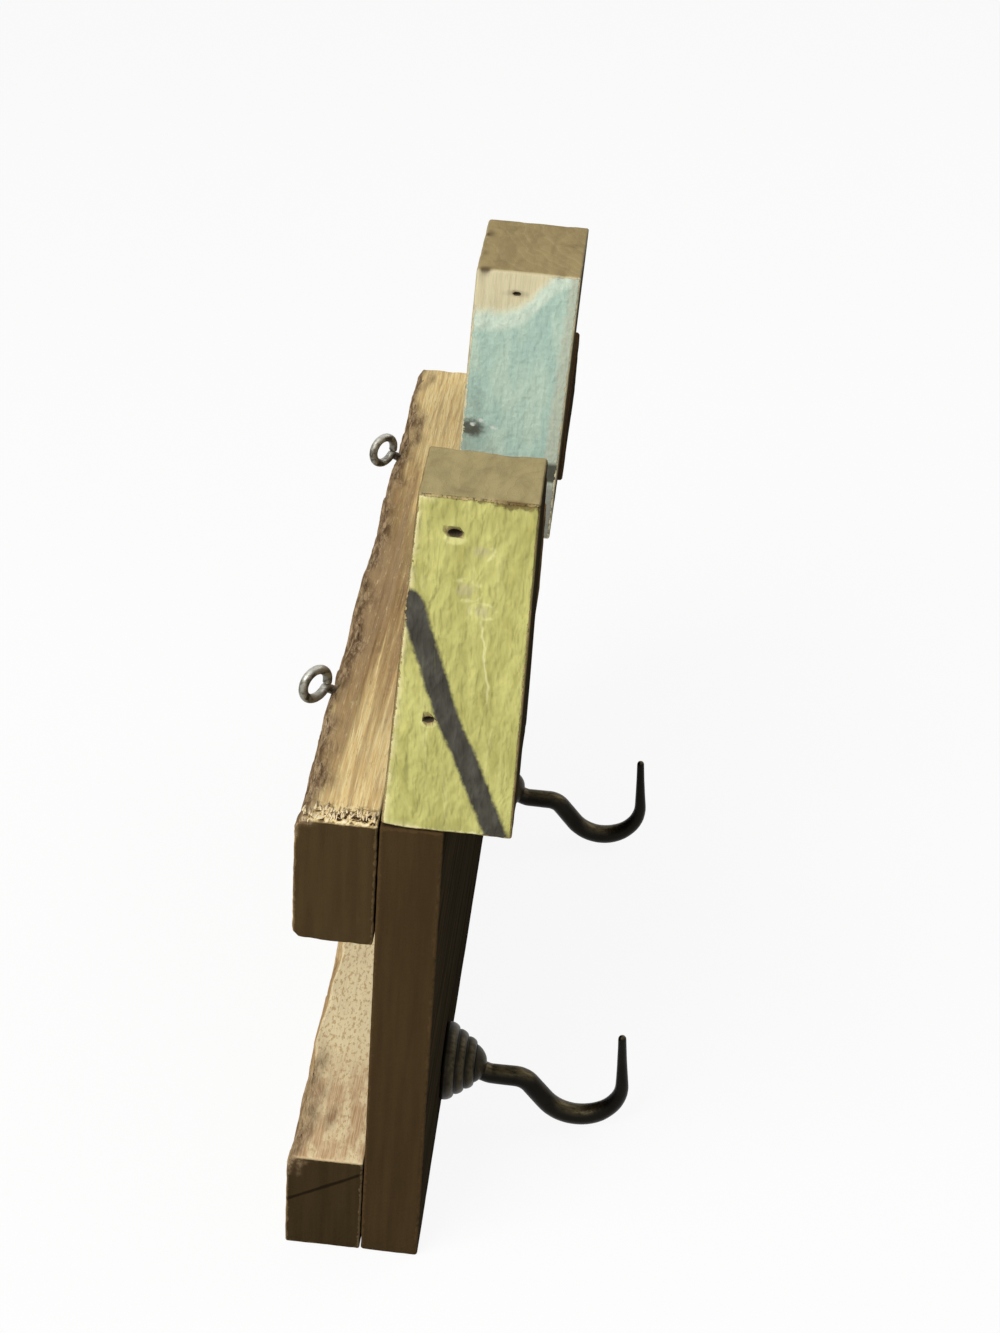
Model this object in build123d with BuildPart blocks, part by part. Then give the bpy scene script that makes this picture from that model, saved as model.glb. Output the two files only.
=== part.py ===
from build123d import *
from math import cos, pi, radians, sin, sqrt, tan
import os

# Rack of reclaimed timber with two screw-in hooks. Millimetres, +Z up, front towards -Y.
# The back faces of the two battens lie in the wall plane Y = 0, and the origin is the
# centre of the upper batten's back face.

# Hook board and battens
rack_length = 305.0
board_thickness = 19.0
board_height = 173.0
batten_depth = 25.0
upper_batten_height = 45.0
lower_batten_height = 39.0
worn_edge = 1.0  # rounding of the sawn timber's long edges
soft_edge = 2.0  # rounding of the upper batten's bottom edges
overrun = 1.0  # cutters reach this far past the faces they enter

# Wane: the bark edge left along the top back corner of a batten
upper_wane_width = 3.0
lower_wane_width = 2.6
wane_drop = 5.0
wane_swing = 1.3
wane_wave = 74.0  # length of one swell of the bark edge
wane_ripple = 0.5  # a second, shorter swell: its height, length and start beside the first
wane_ripple_length = 0.37
wane_ripple_start = 1.0
wane_stations = 15

# Blocks that stand on the board's top edge, from left to right
block_gap = 0.3  # seam between blocks that stand side by side
block_edge = 1.2

green_length = 28.0
green_height = 110.0
green_foot_width = 38.5
green_top_width = 33.0
green_front_lean = 0.4

brown_length = 34.0
brown_height = 86.0
brown_width = 34.5
brown_setback = 3.5  # back of the board to the block's foot

low_length = 79.5
low_height = 34.0
low_width = 36.0

blue_offset = 176.0  # left end of the rack to the blue block
blue_length = 44.0
blue_height = 99.5
blue_width = 35.0
blue_setback = 1.8
blue_lean = 3.2

end_length = 76.0
end_height = 26.0
end_width = 36.0
end_setback = 2.4

# Old nail holes: diameter, distance from the block's back edge, height above its foot
nail_hole_depth = 11.0
green_upper_hole = (4.2, 16.7, 99.0)
green_lower_hole = (3.0, 12.5, 38.8)
blue_hole = (3.0, 17.2, 91.5)

# Dowels between the blocks and the board
dowel_diameter = 6.0
dowel_length = 30.0
dowel_clearance = 0.1
dowel_end_gap = 0.3
dowel_chamfer = 0.75
dowel_inset = 8.0  # end of a block to the dowel's axis

# Screws that hold the battens to the board from behind
screw_diameter = 4.0
screw_length = 38.0
screw_head_diameter = 8.0
screw_head_height = 2.6
screw_sink = 0.4  # head below the batten's back face
screw_clearance = 0.1
screw_inset = 30.0  # end of the rack to the outer screws
screw_slot_width = 1.2
screw_slot_depth = 0.9
screws_per_batten = 4

# Hooks with beehive rosettes: the ribs belong to the rosette, the domed nose to the hook
hook_inset = 70.0  # end of the rack to a hook
hook_height = 23.0  # board's bottom edge to a rosette's axis
rosette_diameter = 27.0
rosette_height = 11.0
rosette_top_diameter = 13.8
rosette_ribs = 3
rosette_foot = 1.2
rib_in = 0.25  # fullest point of a rib, as shares of its step inward and of its rise
rib_out = 0.62
rosette_bore_clearance = 0.15
rosette_seat_gap = 0.1
nose_diameter = 13.2
nose_rise = 4.0
arm_reach = 66.1  # board's front face to the outside of the hook
arm_start = (1.3, 2.4)  # nose's base to the arm's first section inside the nose: out and down
neck_run = 5.0  # nose's base to the level run
arm_drop = 3.8  # rosette's axis to the level run of the arm
neck_radius = 6.0
bend_radius = 7.0
bend_angle = 50.0
bowl_radius = 14.8
bowl_depth = 14.5  # level run of the arm to the bottom of the bowl
tip_rise = 38.0  # bottom of the bowl to the tip
tip_lean = 5.0  # inward, from upright
tip_rounding = 1.1
line_slack = 0.02  # keeps two arcs of the bowl from closing on each other
arm_root_diameter = 6.6
arm_bowl_diameter = 7.4
arm_tip_diameter = 2.8
fullest = 0.46  # share of the arm's length at which it is thickest
arm_sections = 16
hook_thread_diameter = 4.6
hook_thread_length = 15.0
hook_thread_clearance = 0.1
hook_point_length = 3.5

# Screw eyes in the upper batten's bark edge, both driven askew the same way
eye_inset = 71.5  # end of the rack to the shank where it enters the wood
eye_seat_inset = 1.6  # wall plane to the same point
eye_outer_diameter = 13.0
eye_wire = 3.0
eye_stand = 3.5  # wood to the underside of the ring
eye_shank_length = 17.0
eye_point_length = 4.0
eye_turn = 40.0  # ring to the wall plane
eye_rise = 35.0  # shank's climb out of the wood
eye_clearance = 0.1

# Levels and planes that follow from the sizes above
rack_left = -rack_length / 2
rack_right = rack_length / 2
board_back = -batten_depth
board_front = board_back - board_thickness
board_top = upper_batten_height / 2
board_bottom = board_top - board_height
lower_batten_top = board_bottom + lower_batten_height
board_middle = (board_back + board_front) / 2
batten_levels = {
    "upper": board_top - upper_batten_height / 2,
    "lower": board_bottom + lower_batten_height / 2,
}
hook_axis = board_bottom + hook_height
arm_radii = (neck_radius, bend_radius, bowl_radius, bowl_radius)
nose_base = board_front - rosette_height - rosette_seat_gap
nose_ball = (nose_diameter**2 / 4 + nose_rise**2) / (2 * nose_rise)
hook_shank_length = hook_thread_length + rosette_height + rosette_seat_gap
hook_positions = {"left": rack_left + hook_inset, "right": rack_right - hook_inset}
eye_positions = {"left": rack_left + eye_inset, "right": rack_right - eye_inset}
screw_pitch = (rack_length - 2 * screw_inset) / (screws_per_batten - 1)
screw_positions = [rack_left + screw_inset + i * screw_pitch for i in range(screws_per_batten)]


def save(builder, name):
    builder.part.label = name
    export_step(builder.part, f"parts/{name}.step")


def block_ends(name):
    """X of a block's left and right end."""
    green_end = rack_left + green_length
    brown_end = green_end + block_gap + brown_length
    blue_start = rack_left + blue_offset
    blue_end = blue_start + blue_length
    return {
        "green_block": (rack_left, green_end),
        "brown_block": (green_end + block_gap, brown_end),
        "low_block": (brown_end + block_gap, brown_end + block_gap + low_length),
        "blue_block": (blue_start, blue_end),
        "end_block": (blue_end + block_gap, blue_end + block_gap + end_length),
    }[name]


# Cross-section of each block: (Y, Z) corners, back foot first, anticlockwise seen from the left
block_sections = {
    "green_block": (
        (board_back, board_top),
        (board_back - green_foot_width, board_top),
        (board_back - green_foot_width - green_front_lean, board_top + green_height),
        (board_back - green_foot_width - green_front_lean + green_top_width, board_top + green_height),
    ),
    "brown_block": (
        (board_back - brown_setback, board_top),
        (board_back - brown_setback - brown_width, board_top),
        (board_back - brown_setback - brown_width, board_top + brown_height),
        (board_back - brown_setback, board_top + brown_height),
    ),
    "low_block": (
        (board_back, board_top),
        (board_back - low_width, board_top),
        (board_back - low_width, board_top + low_height),
        (board_back, board_top + low_height),
    ),
    "blue_block": (
        (board_back - blue_setback, board_top),
        (board_back - blue_setback - blue_width, board_top),
        (board_back - blue_setback - blue_width - blue_lean, board_top + blue_height),
        (board_back - blue_setback - blue_lean, board_top + blue_height),
    ),
    "end_block": (
        (board_back - end_setback, board_top),
        (board_back - end_setback - end_width, board_top),
        (board_back - end_setback - end_width, board_top + end_height),
        (board_back - end_setback, board_top + end_height),
    ),
}
nail_holes = {
    "green_block": (0.0, (green_upper_hole, green_lower_hole)),
    "blue_block": (blue_setback, (blue_hole,)),
}


def dowel_places(name):
    left, right = block_ends(name)
    return [(left + dowel_inset, board_middle, board_top), (right - dowel_inset, board_middle, board_top)]


def wane_width(x, mean):
    """Width of the bark edge at a station, which swells and narrows along the batten."""
    ripple = sin(2 * pi * x / (wane_ripple_length * wane_wave) + wane_ripple_start)
    swell = sin(2 * pi * x / wane_wave) + wane_ripple * ripple
    return mean + wane_swing * swell / (1 + wane_ripple)


def make_wane(top, mean):
    """The waste along a batten's top back corner, lofted from station to station."""
    pitch = rack_length / (wane_stations - 1)
    with BuildPart() as waste:
        for i in range(wane_stations):
            x = rack_left + i * pitch
            width = wane_width(x, mean)
            slope = wane_drop / mean
            with BuildSketch(Plane.YZ.offset(x)):
                with BuildLine():
                    Polyline(
                        (-width, top),
                        (overrun, top + overrun),
                        (overrun, top - slope * (width + overrun)),
                        close=True,
                    )
                make_face()
        loft(ruled=True)
    return waste.part


def eye_seat(x):
    """Point where a screw eye's shank enters the bark edge."""
    width = wane_width(x, upper_wane_width)
    fall = wane_drop * max(width - eye_seat_inset, 0) / upper_wane_width
    return Vector(x, -eye_seat_inset, board_top - fall)


def eye_plane(x):
    """Plane in the ring of a screw eye: its X axis runs along the shank, out of the wood."""
    turn, rise = radians(eye_turn), radians(eye_rise)
    return Plane(
        origin=eye_seat(x),
        x_dir=(-cos(turn) * cos(rise), sin(turn) * cos(rise), sin(rise)),
        z_dir=(-sin(turn), -cos(turn), 0),
    )


os.makedirs("parts", exist_ok=True)

# Cutters that every drilled piece shares, so that each hole runs true from piece to piece
with BuildPart() as dowel_holes:
    for block_name in block_sections:
        with Locations(*dowel_places(block_name)):
            Cylinder(dowel_diameter / 2 + dowel_clearance, dowel_length + 2 * dowel_end_gap)

with BuildPart() as screw_holes:
    for level in batten_levels.values():
        for x in screw_positions:
            with BuildSketch(Plane(origin=(x, 0, level))):
                with BuildLine():
                    Polyline(
                        (0, overrun),
                        (screw_head_diameter / 2 + screw_clearance, overrun),
                        (screw_head_diameter / 2 + screw_clearance, -screw_sink),
                        (screw_diameter / 2 + screw_clearance, -screw_sink - screw_head_height),
                        (screw_diameter / 2 + screw_clearance, -screw_sink - screw_length),
                        (0, -screw_sink - screw_length),
                        close=True,
                    )
                make_face()
            revolve(axis=Axis((x, 0, level), (0, 1, 0)))

with BuildPart() as eye_holes:
    for x in eye_positions.values():
        shank = eye_plane(x)
        with BuildSketch(shank):
            with BuildLine():
                Polyline(
                    (eye_outer_diameter, 0),
                    (-eye_shank_length - eye_clearance, 0),
                    (-eye_shank_length - eye_clearance, eye_wire / 2 + eye_clearance),
                    (eye_outer_diameter, eye_wire / 2 + eye_clearance),
                    close=True,
                )
            make_face()
        revolve(axis=Axis(shank.origin, shank.x_dir))

upper_wane = make_wane(board_top, upper_wane_width)
lower_wane = make_wane(lower_batten_top, lower_wane_width)

# Hook board: the upright plank, drilled for hooks, dowels and batten screws
with BuildPart() as hook_board:
    with BuildSketch(Plane.YZ.offset(rack_left)):
        with Locations((board_middle, (board_top + board_bottom) / 2)):
            Rectangle(board_thickness, board_height)
    extrude(amount=rack_length)
    fillet(hook_board.edges().filter_by(Axis.X), radius=worn_edge)
    add(dowel_holes.part, mode=Mode.SUBTRACT)
    add(screw_holes.part, mode=Mode.SUBTRACT)
    for x in hook_positions.values():
        with Locations(Location((x, board_front, hook_axis), (90, 0, 0))):
            Hole(hook_thread_diameter / 2 + hook_thread_clearance, hook_thread_length + hook_thread_clearance)
save(hook_board, "hook_board")

# Battens: they stand the board off the wall
with BuildPart() as upper_batten:
    with BuildSketch(Plane.YZ.offset(rack_left)):
        with Locations((-batten_depth / 2, batten_levels["upper"])):
            Rectangle(batten_depth, upper_batten_height)
    extrude(amount=rack_length)
    fillet(upper_batten.edges().filter_by(Axis.X).group_by(Axis.Z)[0], radius=soft_edge)
    add(upper_wane, mode=Mode.SUBTRACT)
    add(screw_holes.part, mode=Mode.SUBTRACT)
    add(eye_holes.part, mode=Mode.SUBTRACT)
save(upper_batten, "upper_batten")

with BuildPart() as lower_batten:
    with BuildSketch(Plane.YZ.offset(rack_left)):
        with Locations((-batten_depth / 2, batten_levels["lower"])):
            Rectangle(batten_depth, lower_batten_height)
    extrude(amount=rack_length)
    fillet(lower_batten.edges().filter_by(Axis.X).group_by(Axis.Z)[0], radius=worn_edge)
    add(lower_wane, mode=Mode.SUBTRACT)
    add(screw_holes.part, mode=Mode.SUBTRACT)
save(lower_batten, "lower_batten")

# Blocks: painted and plain offcuts of different heights, each on two dowels
for name, section in block_sections.items():
    left, right = block_ends(name)
    with BuildPart() as block:
        with BuildSketch(Plane.YZ.offset(left)):
            with BuildLine():
                Polyline(*section, close=True)
            make_face()
        extrude(amount=right - left)
        fillet(block.edges(), radius=block_edge)
        setback, holes = nail_holes.get(name, (0.0, ()))
        for diameter, from_back, height in holes:
            mouth = (left, board_back - setback - from_back, board_top + height)
            with Locations(Location(mouth, (0, -90, 0))):
                Hole(diameter / 2, nail_hole_depth)
        add(dowel_holes.part, mode=Mode.SUBTRACT)
    save(block, name)

    with BuildPart() as dowels:
        with Locations(*dowel_places(name)):
            Cylinder(dowel_diameter / 2, dowel_length)
        chamfer(dowels.edges(), length=dowel_chamfer)
    save(dowels, name.replace("_block", "_block_dowels"))

# Batten screws: countersunk, slotted, pointed
for name, level in batten_levels.items():
    with BuildPart() as screws:
        for x in screw_positions:
            with BuildSketch(Plane(origin=(x, 0, level))):
                with BuildLine():
                    Polyline(
                        (0, -screw_sink),
                        (screw_head_diameter / 2, -screw_sink),
                        (screw_diameter / 2, -screw_sink - screw_head_height),
                        (screw_diameter / 2, -screw_sink - screw_length + screw_diameter),
                        (0, -screw_sink - screw_length),
                        close=True,
                    )
                make_face()
            revolve(axis=Axis((x, 0, level), (0, 1, 0)))
            with Locations((x, -screw_sink, level)):
                Box(screw_head_diameter, 2 * screw_slot_depth, screw_slot_width, mode=Mode.SUBTRACT)
    save(screws, f"{name}_batten_screws")


def arm_corners():
    """Corners of a hook's centre line as (reach, height) from the middle of the nose's base."""
    bottom = -arm_drop - bowl_depth
    upright = radians(tip_lean)
    reach = arm_reach - rosette_height - rosette_seat_gap - arm_bowl_diameter / 2
    outer = reach + bowl_radius * tan(upright)
    half_turns = tan(radians(bend_angle) / 2) + tan(radians(90 + tip_lean) / 2)
    inner = outer - (bowl_radius + line_slack) * half_turns
    return (
        (arm_start[0], -arm_start[1]),
        (neck_run, -arm_drop),
        (inner - bowl_depth / tan(radians(bend_angle)), -arm_drop),
        (inner, bottom),
        (outer, bottom),
        (outer - tip_rise * tan(upright), bottom + tip_rise),
    )


def arm_diameter(along):
    """Thickness of the drawn arm at a share of its length: fullest in the bowl, finest at the tip."""
    if along < fullest:
        swell = (1 - cos(pi * along / fullest)) / 2
        return arm_root_diameter + (arm_bowl_diameter - arm_root_diameter) * swell
    swell = (1 + cos(pi * (along - fullest) / (1 - fullest))) / 2
    return arm_tip_diameter + (arm_bowl_diameter - arm_tip_diameter) * swell


for side, x in hook_positions.items():
    # Rosette: a turned beehive of rounded ribs on a flat foot
    with BuildPart() as rosette:
        step_rise = (rosette_height - rosette_foot) / rosette_ribs
        step_in = (rosette_diameter - rosette_top_diameter) / 2 / rosette_ribs
        bore = hook_thread_diameter / 2 + rosette_bore_clearance
        with BuildSketch(Plane(origin=(x, board_front, hook_axis))):
            with BuildLine():
                Polyline(
                    (bore, -rosette_height),
                    (bore, -rosette_seat_gap),
                    (rosette_diameter / 2, -rosette_seat_gap),
                    (rosette_diameter / 2, -rosette_foot),
                )
                for i in range(rosette_ribs):
                    radius = rosette_diameter / 2 - i * step_in
                    level = -rosette_foot - i * step_rise
                    ThreePointArc(
                        (radius, level),
                        (radius - rib_in * step_in, level - rib_out * step_rise),
                        (radius - step_in, level - step_rise),
                    )
                Line(
                    (rosette_top_diameter / 2, -rosette_height),
                    (bore, -rosette_height),
                )
            make_face()
        revolve(axis=Axis((x, board_front, hook_axis), (0, 1, 0)))
    save(rosette, f"{side}_rosette")

    # Hook: arm, domed nose and threaded shank in one piece
    nose = Plane(origin=(x, nose_base, hook_axis), x_dir=(0, -1, 0), z_dir=(-1, 0, 0))
    with BuildPart() as hook:
        with BuildLine(nose) as centre_line:
            FilletPolyline(*arm_corners(), radius=arm_radii)
        path = centre_line.wire()
        for i in range(arm_sections + 1):
            along = i / arm_sections
            point = path.position_at(along * path.length, PositionMode.LENGTH)
            heading = path.tangent_at(along * path.length, PositionMode.LENGTH)
            with BuildSketch(Plane(origin=point, x_dir=(1, 0, 0), z_dir=heading)):
                Circle(arm_diameter(along) / 2)
        loft()
        fillet(hook.faces().sort_by(Axis.Z)[-1].edges(), radius=tip_rounding)
        with BuildSketch(Plane(origin=nose.origin)):
            with BuildLine():
                Polyline(
                    (0, -nose_rise),
                    (0, hook_shank_length),
                    (hook_thread_diameter / 2, hook_shank_length - hook_point_length),
                    (hook_thread_diameter / 2, 0),
                    (nose_diameter / 2, 0),
                )
                ThreePointArc(
                    (nose_diameter / 2, 0),
                    (sqrt(nose_ball**2 - (nose_ball - nose_rise / 2) ** 2), -nose_rise / 2),
                    (0, -nose_rise),
                )
            make_face()
        revolve(axis=Axis(nose.origin, (0, 1, 0)))
    save(hook, f"{side}_hook")

# Screw eyes: a closed ring on a pointed shank, leaning back from the bark edge
for side, x in eye_positions.items():
    ring_centre = eye_stand + eye_outer_diameter / 2
    ring_radius = (eye_outer_diameter - eye_wire) / 2
    shank = eye_plane(x)
    with BuildPart() as screw_eye:
        with BuildSketch(shank):
            with BuildLine():
                Polyline(
                    (ring_centre - ring_radius, 0),
                    (-eye_shank_length, 0),
                    (-eye_shank_length + eye_point_length, eye_wire / 2),
                    (ring_centre - ring_radius, eye_wire / 2),
                    close=True,
                )
            make_face()
        revolve(axis=Axis(shank.origin, shank.x_dir))
        with Locations(shank * Location((ring_centre, 0, 0))):
            Torus(ring_radius, eye_wire / 2)
    save(screw_eye, f"{side}_screw_eye")
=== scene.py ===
import math
from functools import reduce

import bmesh
import bpy
import numpy as np
from mathutils import Matrix, Vector, noise


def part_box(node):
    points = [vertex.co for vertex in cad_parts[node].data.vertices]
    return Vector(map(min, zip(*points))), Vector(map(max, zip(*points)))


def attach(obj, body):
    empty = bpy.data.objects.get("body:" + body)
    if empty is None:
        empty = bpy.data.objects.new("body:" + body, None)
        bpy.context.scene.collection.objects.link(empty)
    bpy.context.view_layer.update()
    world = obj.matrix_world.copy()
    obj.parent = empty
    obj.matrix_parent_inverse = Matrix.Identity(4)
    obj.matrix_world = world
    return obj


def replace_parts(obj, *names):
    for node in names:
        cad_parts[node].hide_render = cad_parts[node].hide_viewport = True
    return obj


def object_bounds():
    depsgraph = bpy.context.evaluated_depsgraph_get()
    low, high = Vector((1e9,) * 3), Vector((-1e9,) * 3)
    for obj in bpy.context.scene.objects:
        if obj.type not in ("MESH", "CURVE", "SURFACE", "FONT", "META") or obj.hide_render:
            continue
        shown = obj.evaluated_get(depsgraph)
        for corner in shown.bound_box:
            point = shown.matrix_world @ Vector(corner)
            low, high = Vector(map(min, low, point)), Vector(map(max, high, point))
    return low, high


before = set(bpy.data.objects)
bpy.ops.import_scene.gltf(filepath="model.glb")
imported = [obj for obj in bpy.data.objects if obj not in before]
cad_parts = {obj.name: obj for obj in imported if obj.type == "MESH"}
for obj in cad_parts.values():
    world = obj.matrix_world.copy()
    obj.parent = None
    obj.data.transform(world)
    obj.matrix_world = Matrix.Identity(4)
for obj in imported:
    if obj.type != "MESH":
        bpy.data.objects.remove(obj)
cadBox = [list(corner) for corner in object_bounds()]
mm = 0.001  # meshes are laid out in millimetres, then scaled to metres
scene = bpy.context.scene
print("frame loaded")


def colour(red, green, blue):  # a colour, 0 to 255, as the shader wants it
    def linear(value):
        share = value / 255
        return share / 12.92 if share <= 0.04045 else ((share + 0.055) / 1.055) ** 2.4

    return (linear(red), linear(green), linear(blue), 1.0)


# Node building, shared by the shader and the geometry trees
def plug(value, socket):  # a link or a plain value
    if isinstance(value, bpy.types.NodeSocket):
        socket.id_data.links.new(value, socket)
    else:
        socket.default_value = value


def put(kind, feed=None, tree=None, **settings):  # a node in the given tree, or in the tree of what feeds it
    feed = feed or {}
    tree = tree or next(value.id_data for value in feed.values() if isinstance(value, bpy.types.NodeSocket))
    made = tree.nodes.new(kind)
    for name, value in settings.items():
        setattr(made, name, value)
    for key, value in feed.items():
        plug(value, made.inputs[key])
    return made


def calc(operation, *values):
    return put("ShaderNodeMath", dict(enumerate(values)), operation=operation).outputs[0]


def plus(*values):
    return reduce(lambda first, second: calc("ADD", first, second), values)


def times(*values):
    return reduce(lambda first, second: calc("MULTIPLY", first, second), values)


def minus(first, second):
    return calc("SUBTRACT", first, second)


def sizeOf(value):
    return calc("ABSOLUTE", value)


def vectorCalc(operation, *values):
    return put("ShaderNodeVectorMath", dict(enumerate(values)), operation=operation).outputs[0]


def lengthOf(vector):
    return put("ShaderNodeVectorMath", {0: vector}, operation="LENGTH").outputs["Value"]


def scaled(vector, scale):
    return put("ShaderNodeVectorMath", {0: vector, "Scale": scale}, operation="SCALE").outputs[0]


def axesOf(vector):
    return put("ShaderNodeSeparateXYZ", {0: vector}).outputs


def joined(x, y, z=0.0):
    return put("ShaderNodeCombineXYZ", {0: x, 1: y, 2: z}).outputs[0]


def spread(value, low, high, toLow=0.0, toHigh=1.0):  # a soft step between two levels
    feed = {0: value, 1: low, 2: high, 3: toLow, 4: toHigh}
    return put("ShaderNodeMapRange", feed, interpolation_type="SMOOTHSTEP").outputs[0]


def mottle(vector, scale, detail=2.0, roughness=0.5, distortion=0.0):  # soft noise; a triple stretches it
    if isinstance(scale, tuple):
        vector, scale = vectorCalc("MULTIPLY", vector, scale), 1.0
    feed = {"Vector": vector, "Scale": scale, "Detail": detail, "Roughness": roughness}
    return put("ShaderNodeTexNoise", {**feed, "Distortion": distortion}).outputs["Fac"]


def asColour(value):  # a triple from 0 to 255 becomes a colour; a socket stays as it is
    return colour(*value) if isinstance(value, tuple) and len(value) == 3 else value


def blend(mask, first, second):  # from one colour to another
    return put("ShaderNodeMix", {0: mask, 6: asColour(first), 7: asColour(second)}, data_type="RGBA").outputs[2]


def mixValue(mask, first, second):
    return put("ShaderNodeMix", {0: mask, 2: first, 3: second}, data_type="FLOAT").outputs[0]


def shade(base, tint, strength=1.0):  # multiplies a colour by a grey value
    grey = (tint, tint, tint, 1.0)
    if isinstance(tint, bpy.types.NodeSocket):
        grey = put("ShaderNodeCombineColor", {0: tint, 1: tint, 2: tint}).outputs[0]
    feed = {0: strength, 6: asColour(base), 7: grey}
    return put("ShaderNodeMix", feed, data_type="RGBA", blend_type="MULTIPLY").outputs[2]


def vertexValue(spot, name):  # a mask painted on the mesh's points
    return put("ShaderNodeAttribute", tree=spot.id_data, attribute_name=name).outputs["Fac"]


def curveValue(value, points):  # a drawn curve, both axes 0 to 1
    made = put("ShaderNodeFloatCurve", {"Value": value})
    line = made.mapping.curves[0]
    line.points[0].location, line.points[1].location = points[0], points[-1]
    for point in points[1:-1]:
        line.points.new(*point)
    made.mapping.update()
    return made.outputs[0]


socketKinds = {
    "value": "NodeSocketFloat", "vector": "NodeSocketVector", "whole": "NodeSocketInt",
    "material": "NodeSocketMaterial", "geometry": "NodeSocketGeometry",
}


def newGroup(name, inputs, outputs, kind="ShaderNodeTree"):  # a node group with named sockets
    tree = bpy.data.node_groups.new(name, kind)
    for way, sockets in (("INPUT", inputs), ("OUTPUT", outputs)):
        for label, socketKind in sockets.items():
            tree.interface.new_socket(label, in_out=way, socket_type=socketKinds[socketKind])
    return tree, tree.nodes.new("NodeGroupInput").outputs, tree.nodes.new("NodeGroupOutput").inputs


def place(group, **feed):  # one of the shared groups inside a material
    return put("ShaderNodeGroup", feed, node_tree=group).outputs


# Growth rings, fibres and pores. The vector is in millimetres with the grain along X.
timberFigure, given, gives = newGroup(
    "timberFigure",
    {"Vector": "vector", "Pith": "vector", "RingPitch": "value", "Waver": "value"},
    {"Ring": "value", "Streak": "value", "Fibre": "value", "Pore": "value"},
)
slim = vectorCalc("MULTIPLY", given["Vector"], (0.035, 1.0, 1.0))
drift = put("ShaderNodeTexNoise", {"Vector": slim, "Scale": 0.11, "Detail": 2.0}).outputs["Color"]
drift = scaled(vectorCalc("SUBTRACT", drift, (0.5, 0.5, 0.5)), given["Waver"])
fromPith = vectorCalc("SUBTRACT", vectorCalc("ADD", slim, drift), given["Pith"])
reach = lengthOf(vectorCalc("MULTIPLY", fromPith, (0.0, 1.0, 1.0)))
ringCount = calc("DIVIDE", reach, given["RingPitch"])
season = calc("FRACT", ringCount)
year = put("ShaderNodeTexWhiteNoise", {"W": calc("FLOOR", ringCount)}, noise_dimensions="1D").outputs["Value"]
lateWood = times(calc("POWER", season, 2.6), spread(year, 0.0, 1.0, 0.35, 1.0))
plug(times(lateWood, spread(season, 0.9, 1.0, 1.0, 0.0)), gives["Ring"])
plug(mottle(given["Vector"], (0.012, 0.42, 0.42), 3.0, 0.55), gives["Streak"])
plug(mottle(given["Vector"], (0.09, 2.6, 2.6), 3.0, 0.6), gives["Fibre"])
pores = vectorCalc("MULTIPLY", given["Vector"], (0.16, 1.7, 1.7))
pores = put("ShaderNodeTexVoronoi", {"Vector": pores, "Scale": 1.0}).outputs["Distance"]
plug(spread(pores, 0.32, 0.08), gives["Pore"])

# Rubbed or broken edges: the painted-on closeness to an edge, broken up by noise
edgeWear, given, gives = newGroup(
    "edgeWear", {"Vector": "vector", "Edge": "value", "Amount": "value", "Grain": "value"}, {"Mask": "value"}
)
rough = mottle(given["Vector"], given["Grain"], 4.0, 0.65)
level = plus(given["Edge"], times(minus(rough, 0.5), 1.7))
plug(spread(minus(level, minus(1.0, given["Amount"])), 0.0, 0.16), gives["Mask"])

# Dirt and handling: broad clouds
oldDirt, given, gives = newGroup(
    "oldDirt", {"Vector": "vector", "Size": "value", "Amount": "value"}, {"Mask": "value"}
)
clouds = mottle(given["Vector"], calc("DIVIDE", 1.0, given["Size"]), 3.0, 0.6, 0.4)
start = minus(0.85, times(given["Amount"], 0.5))
plug(spread(minus(clouds, start), -0.12, 0.18), gives["Mask"])

# Old brushed paint. The vector's X runs along the brush strokes.
brushedPaint, given, gives = newGroup(
    "brushedPaint",
    {"Vector": "vector", "Stroke": "value", "Flaking": "value"},
    {"Ridge": "value", "Tone": "value", "Lump": "value", "Bare": "value"},
)
fine = calc("DIVIDE", 1.0, given["Stroke"])
along = vectorCalc("MULTIPLY", given["Vector"], joined(times(fine, 0.11), fine, fine))
plug(mottle(along, 1.0, 4.0, 0.62, 0.6), gives["Ridge"])
plug(mottle(given["Vector"], (0.035, 0.13, 0.13), 3.0, 0.55, 0.5), gives["Tone"])
plug(mottle(given["Vector"], (0.13, 0.3, 0.3), 2.0, 0.5, 0.3), gives["Lump"])
flakes = mottle(given["Vector"], (0.35, 0.9, 0.9), 4.0, 0.7)
start = minus(0.92, times(given["Flaking"], 0.4))
plug(spread(minus(flakes, start), 0.0, 0.04), gives["Bare"])

# Cast and drawn metal: tarnish clouds, pits, and soft streaks for the worn ridges and the painted highlight
agedMetal, given, gives = newGroup(
    "agedMetal",
    {"Vector": "vector", "Cloud": "value"},
    {"Tarnish": "value", "Pit": "value", "Scratch": "value"},
)
plug(mottle(given["Vector"], calc("DIVIDE", 1.0, given["Cloud"]), 4.0, 0.6, 0.3), gives["Tarnish"])
pits = put("ShaderNodeTexVoronoi", {"Vector": given["Vector"], "Scale": 1.5}).outputs["Distance"]
plug(spread(pits, 0.3, 0.05), gives["Pit"])
plug(mottle(given["Vector"], (1.2, 0.4, 0.4), 2.0, 0.5), gives["Scratch"])
print("shader groups built")


def newMaterial(name):  # a material with a bare Principled shader, and Object coordinates in millimetres
    material = bpy.data.materials.new(name)
    material.use_nodes = True
    tree = material.node_tree
    own = put("ShaderNodeTexCoord", tree=tree).outputs["Object"]
    return material, tree.nodes["Principled BSDF"], scaled(own, 1 / mm)


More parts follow.
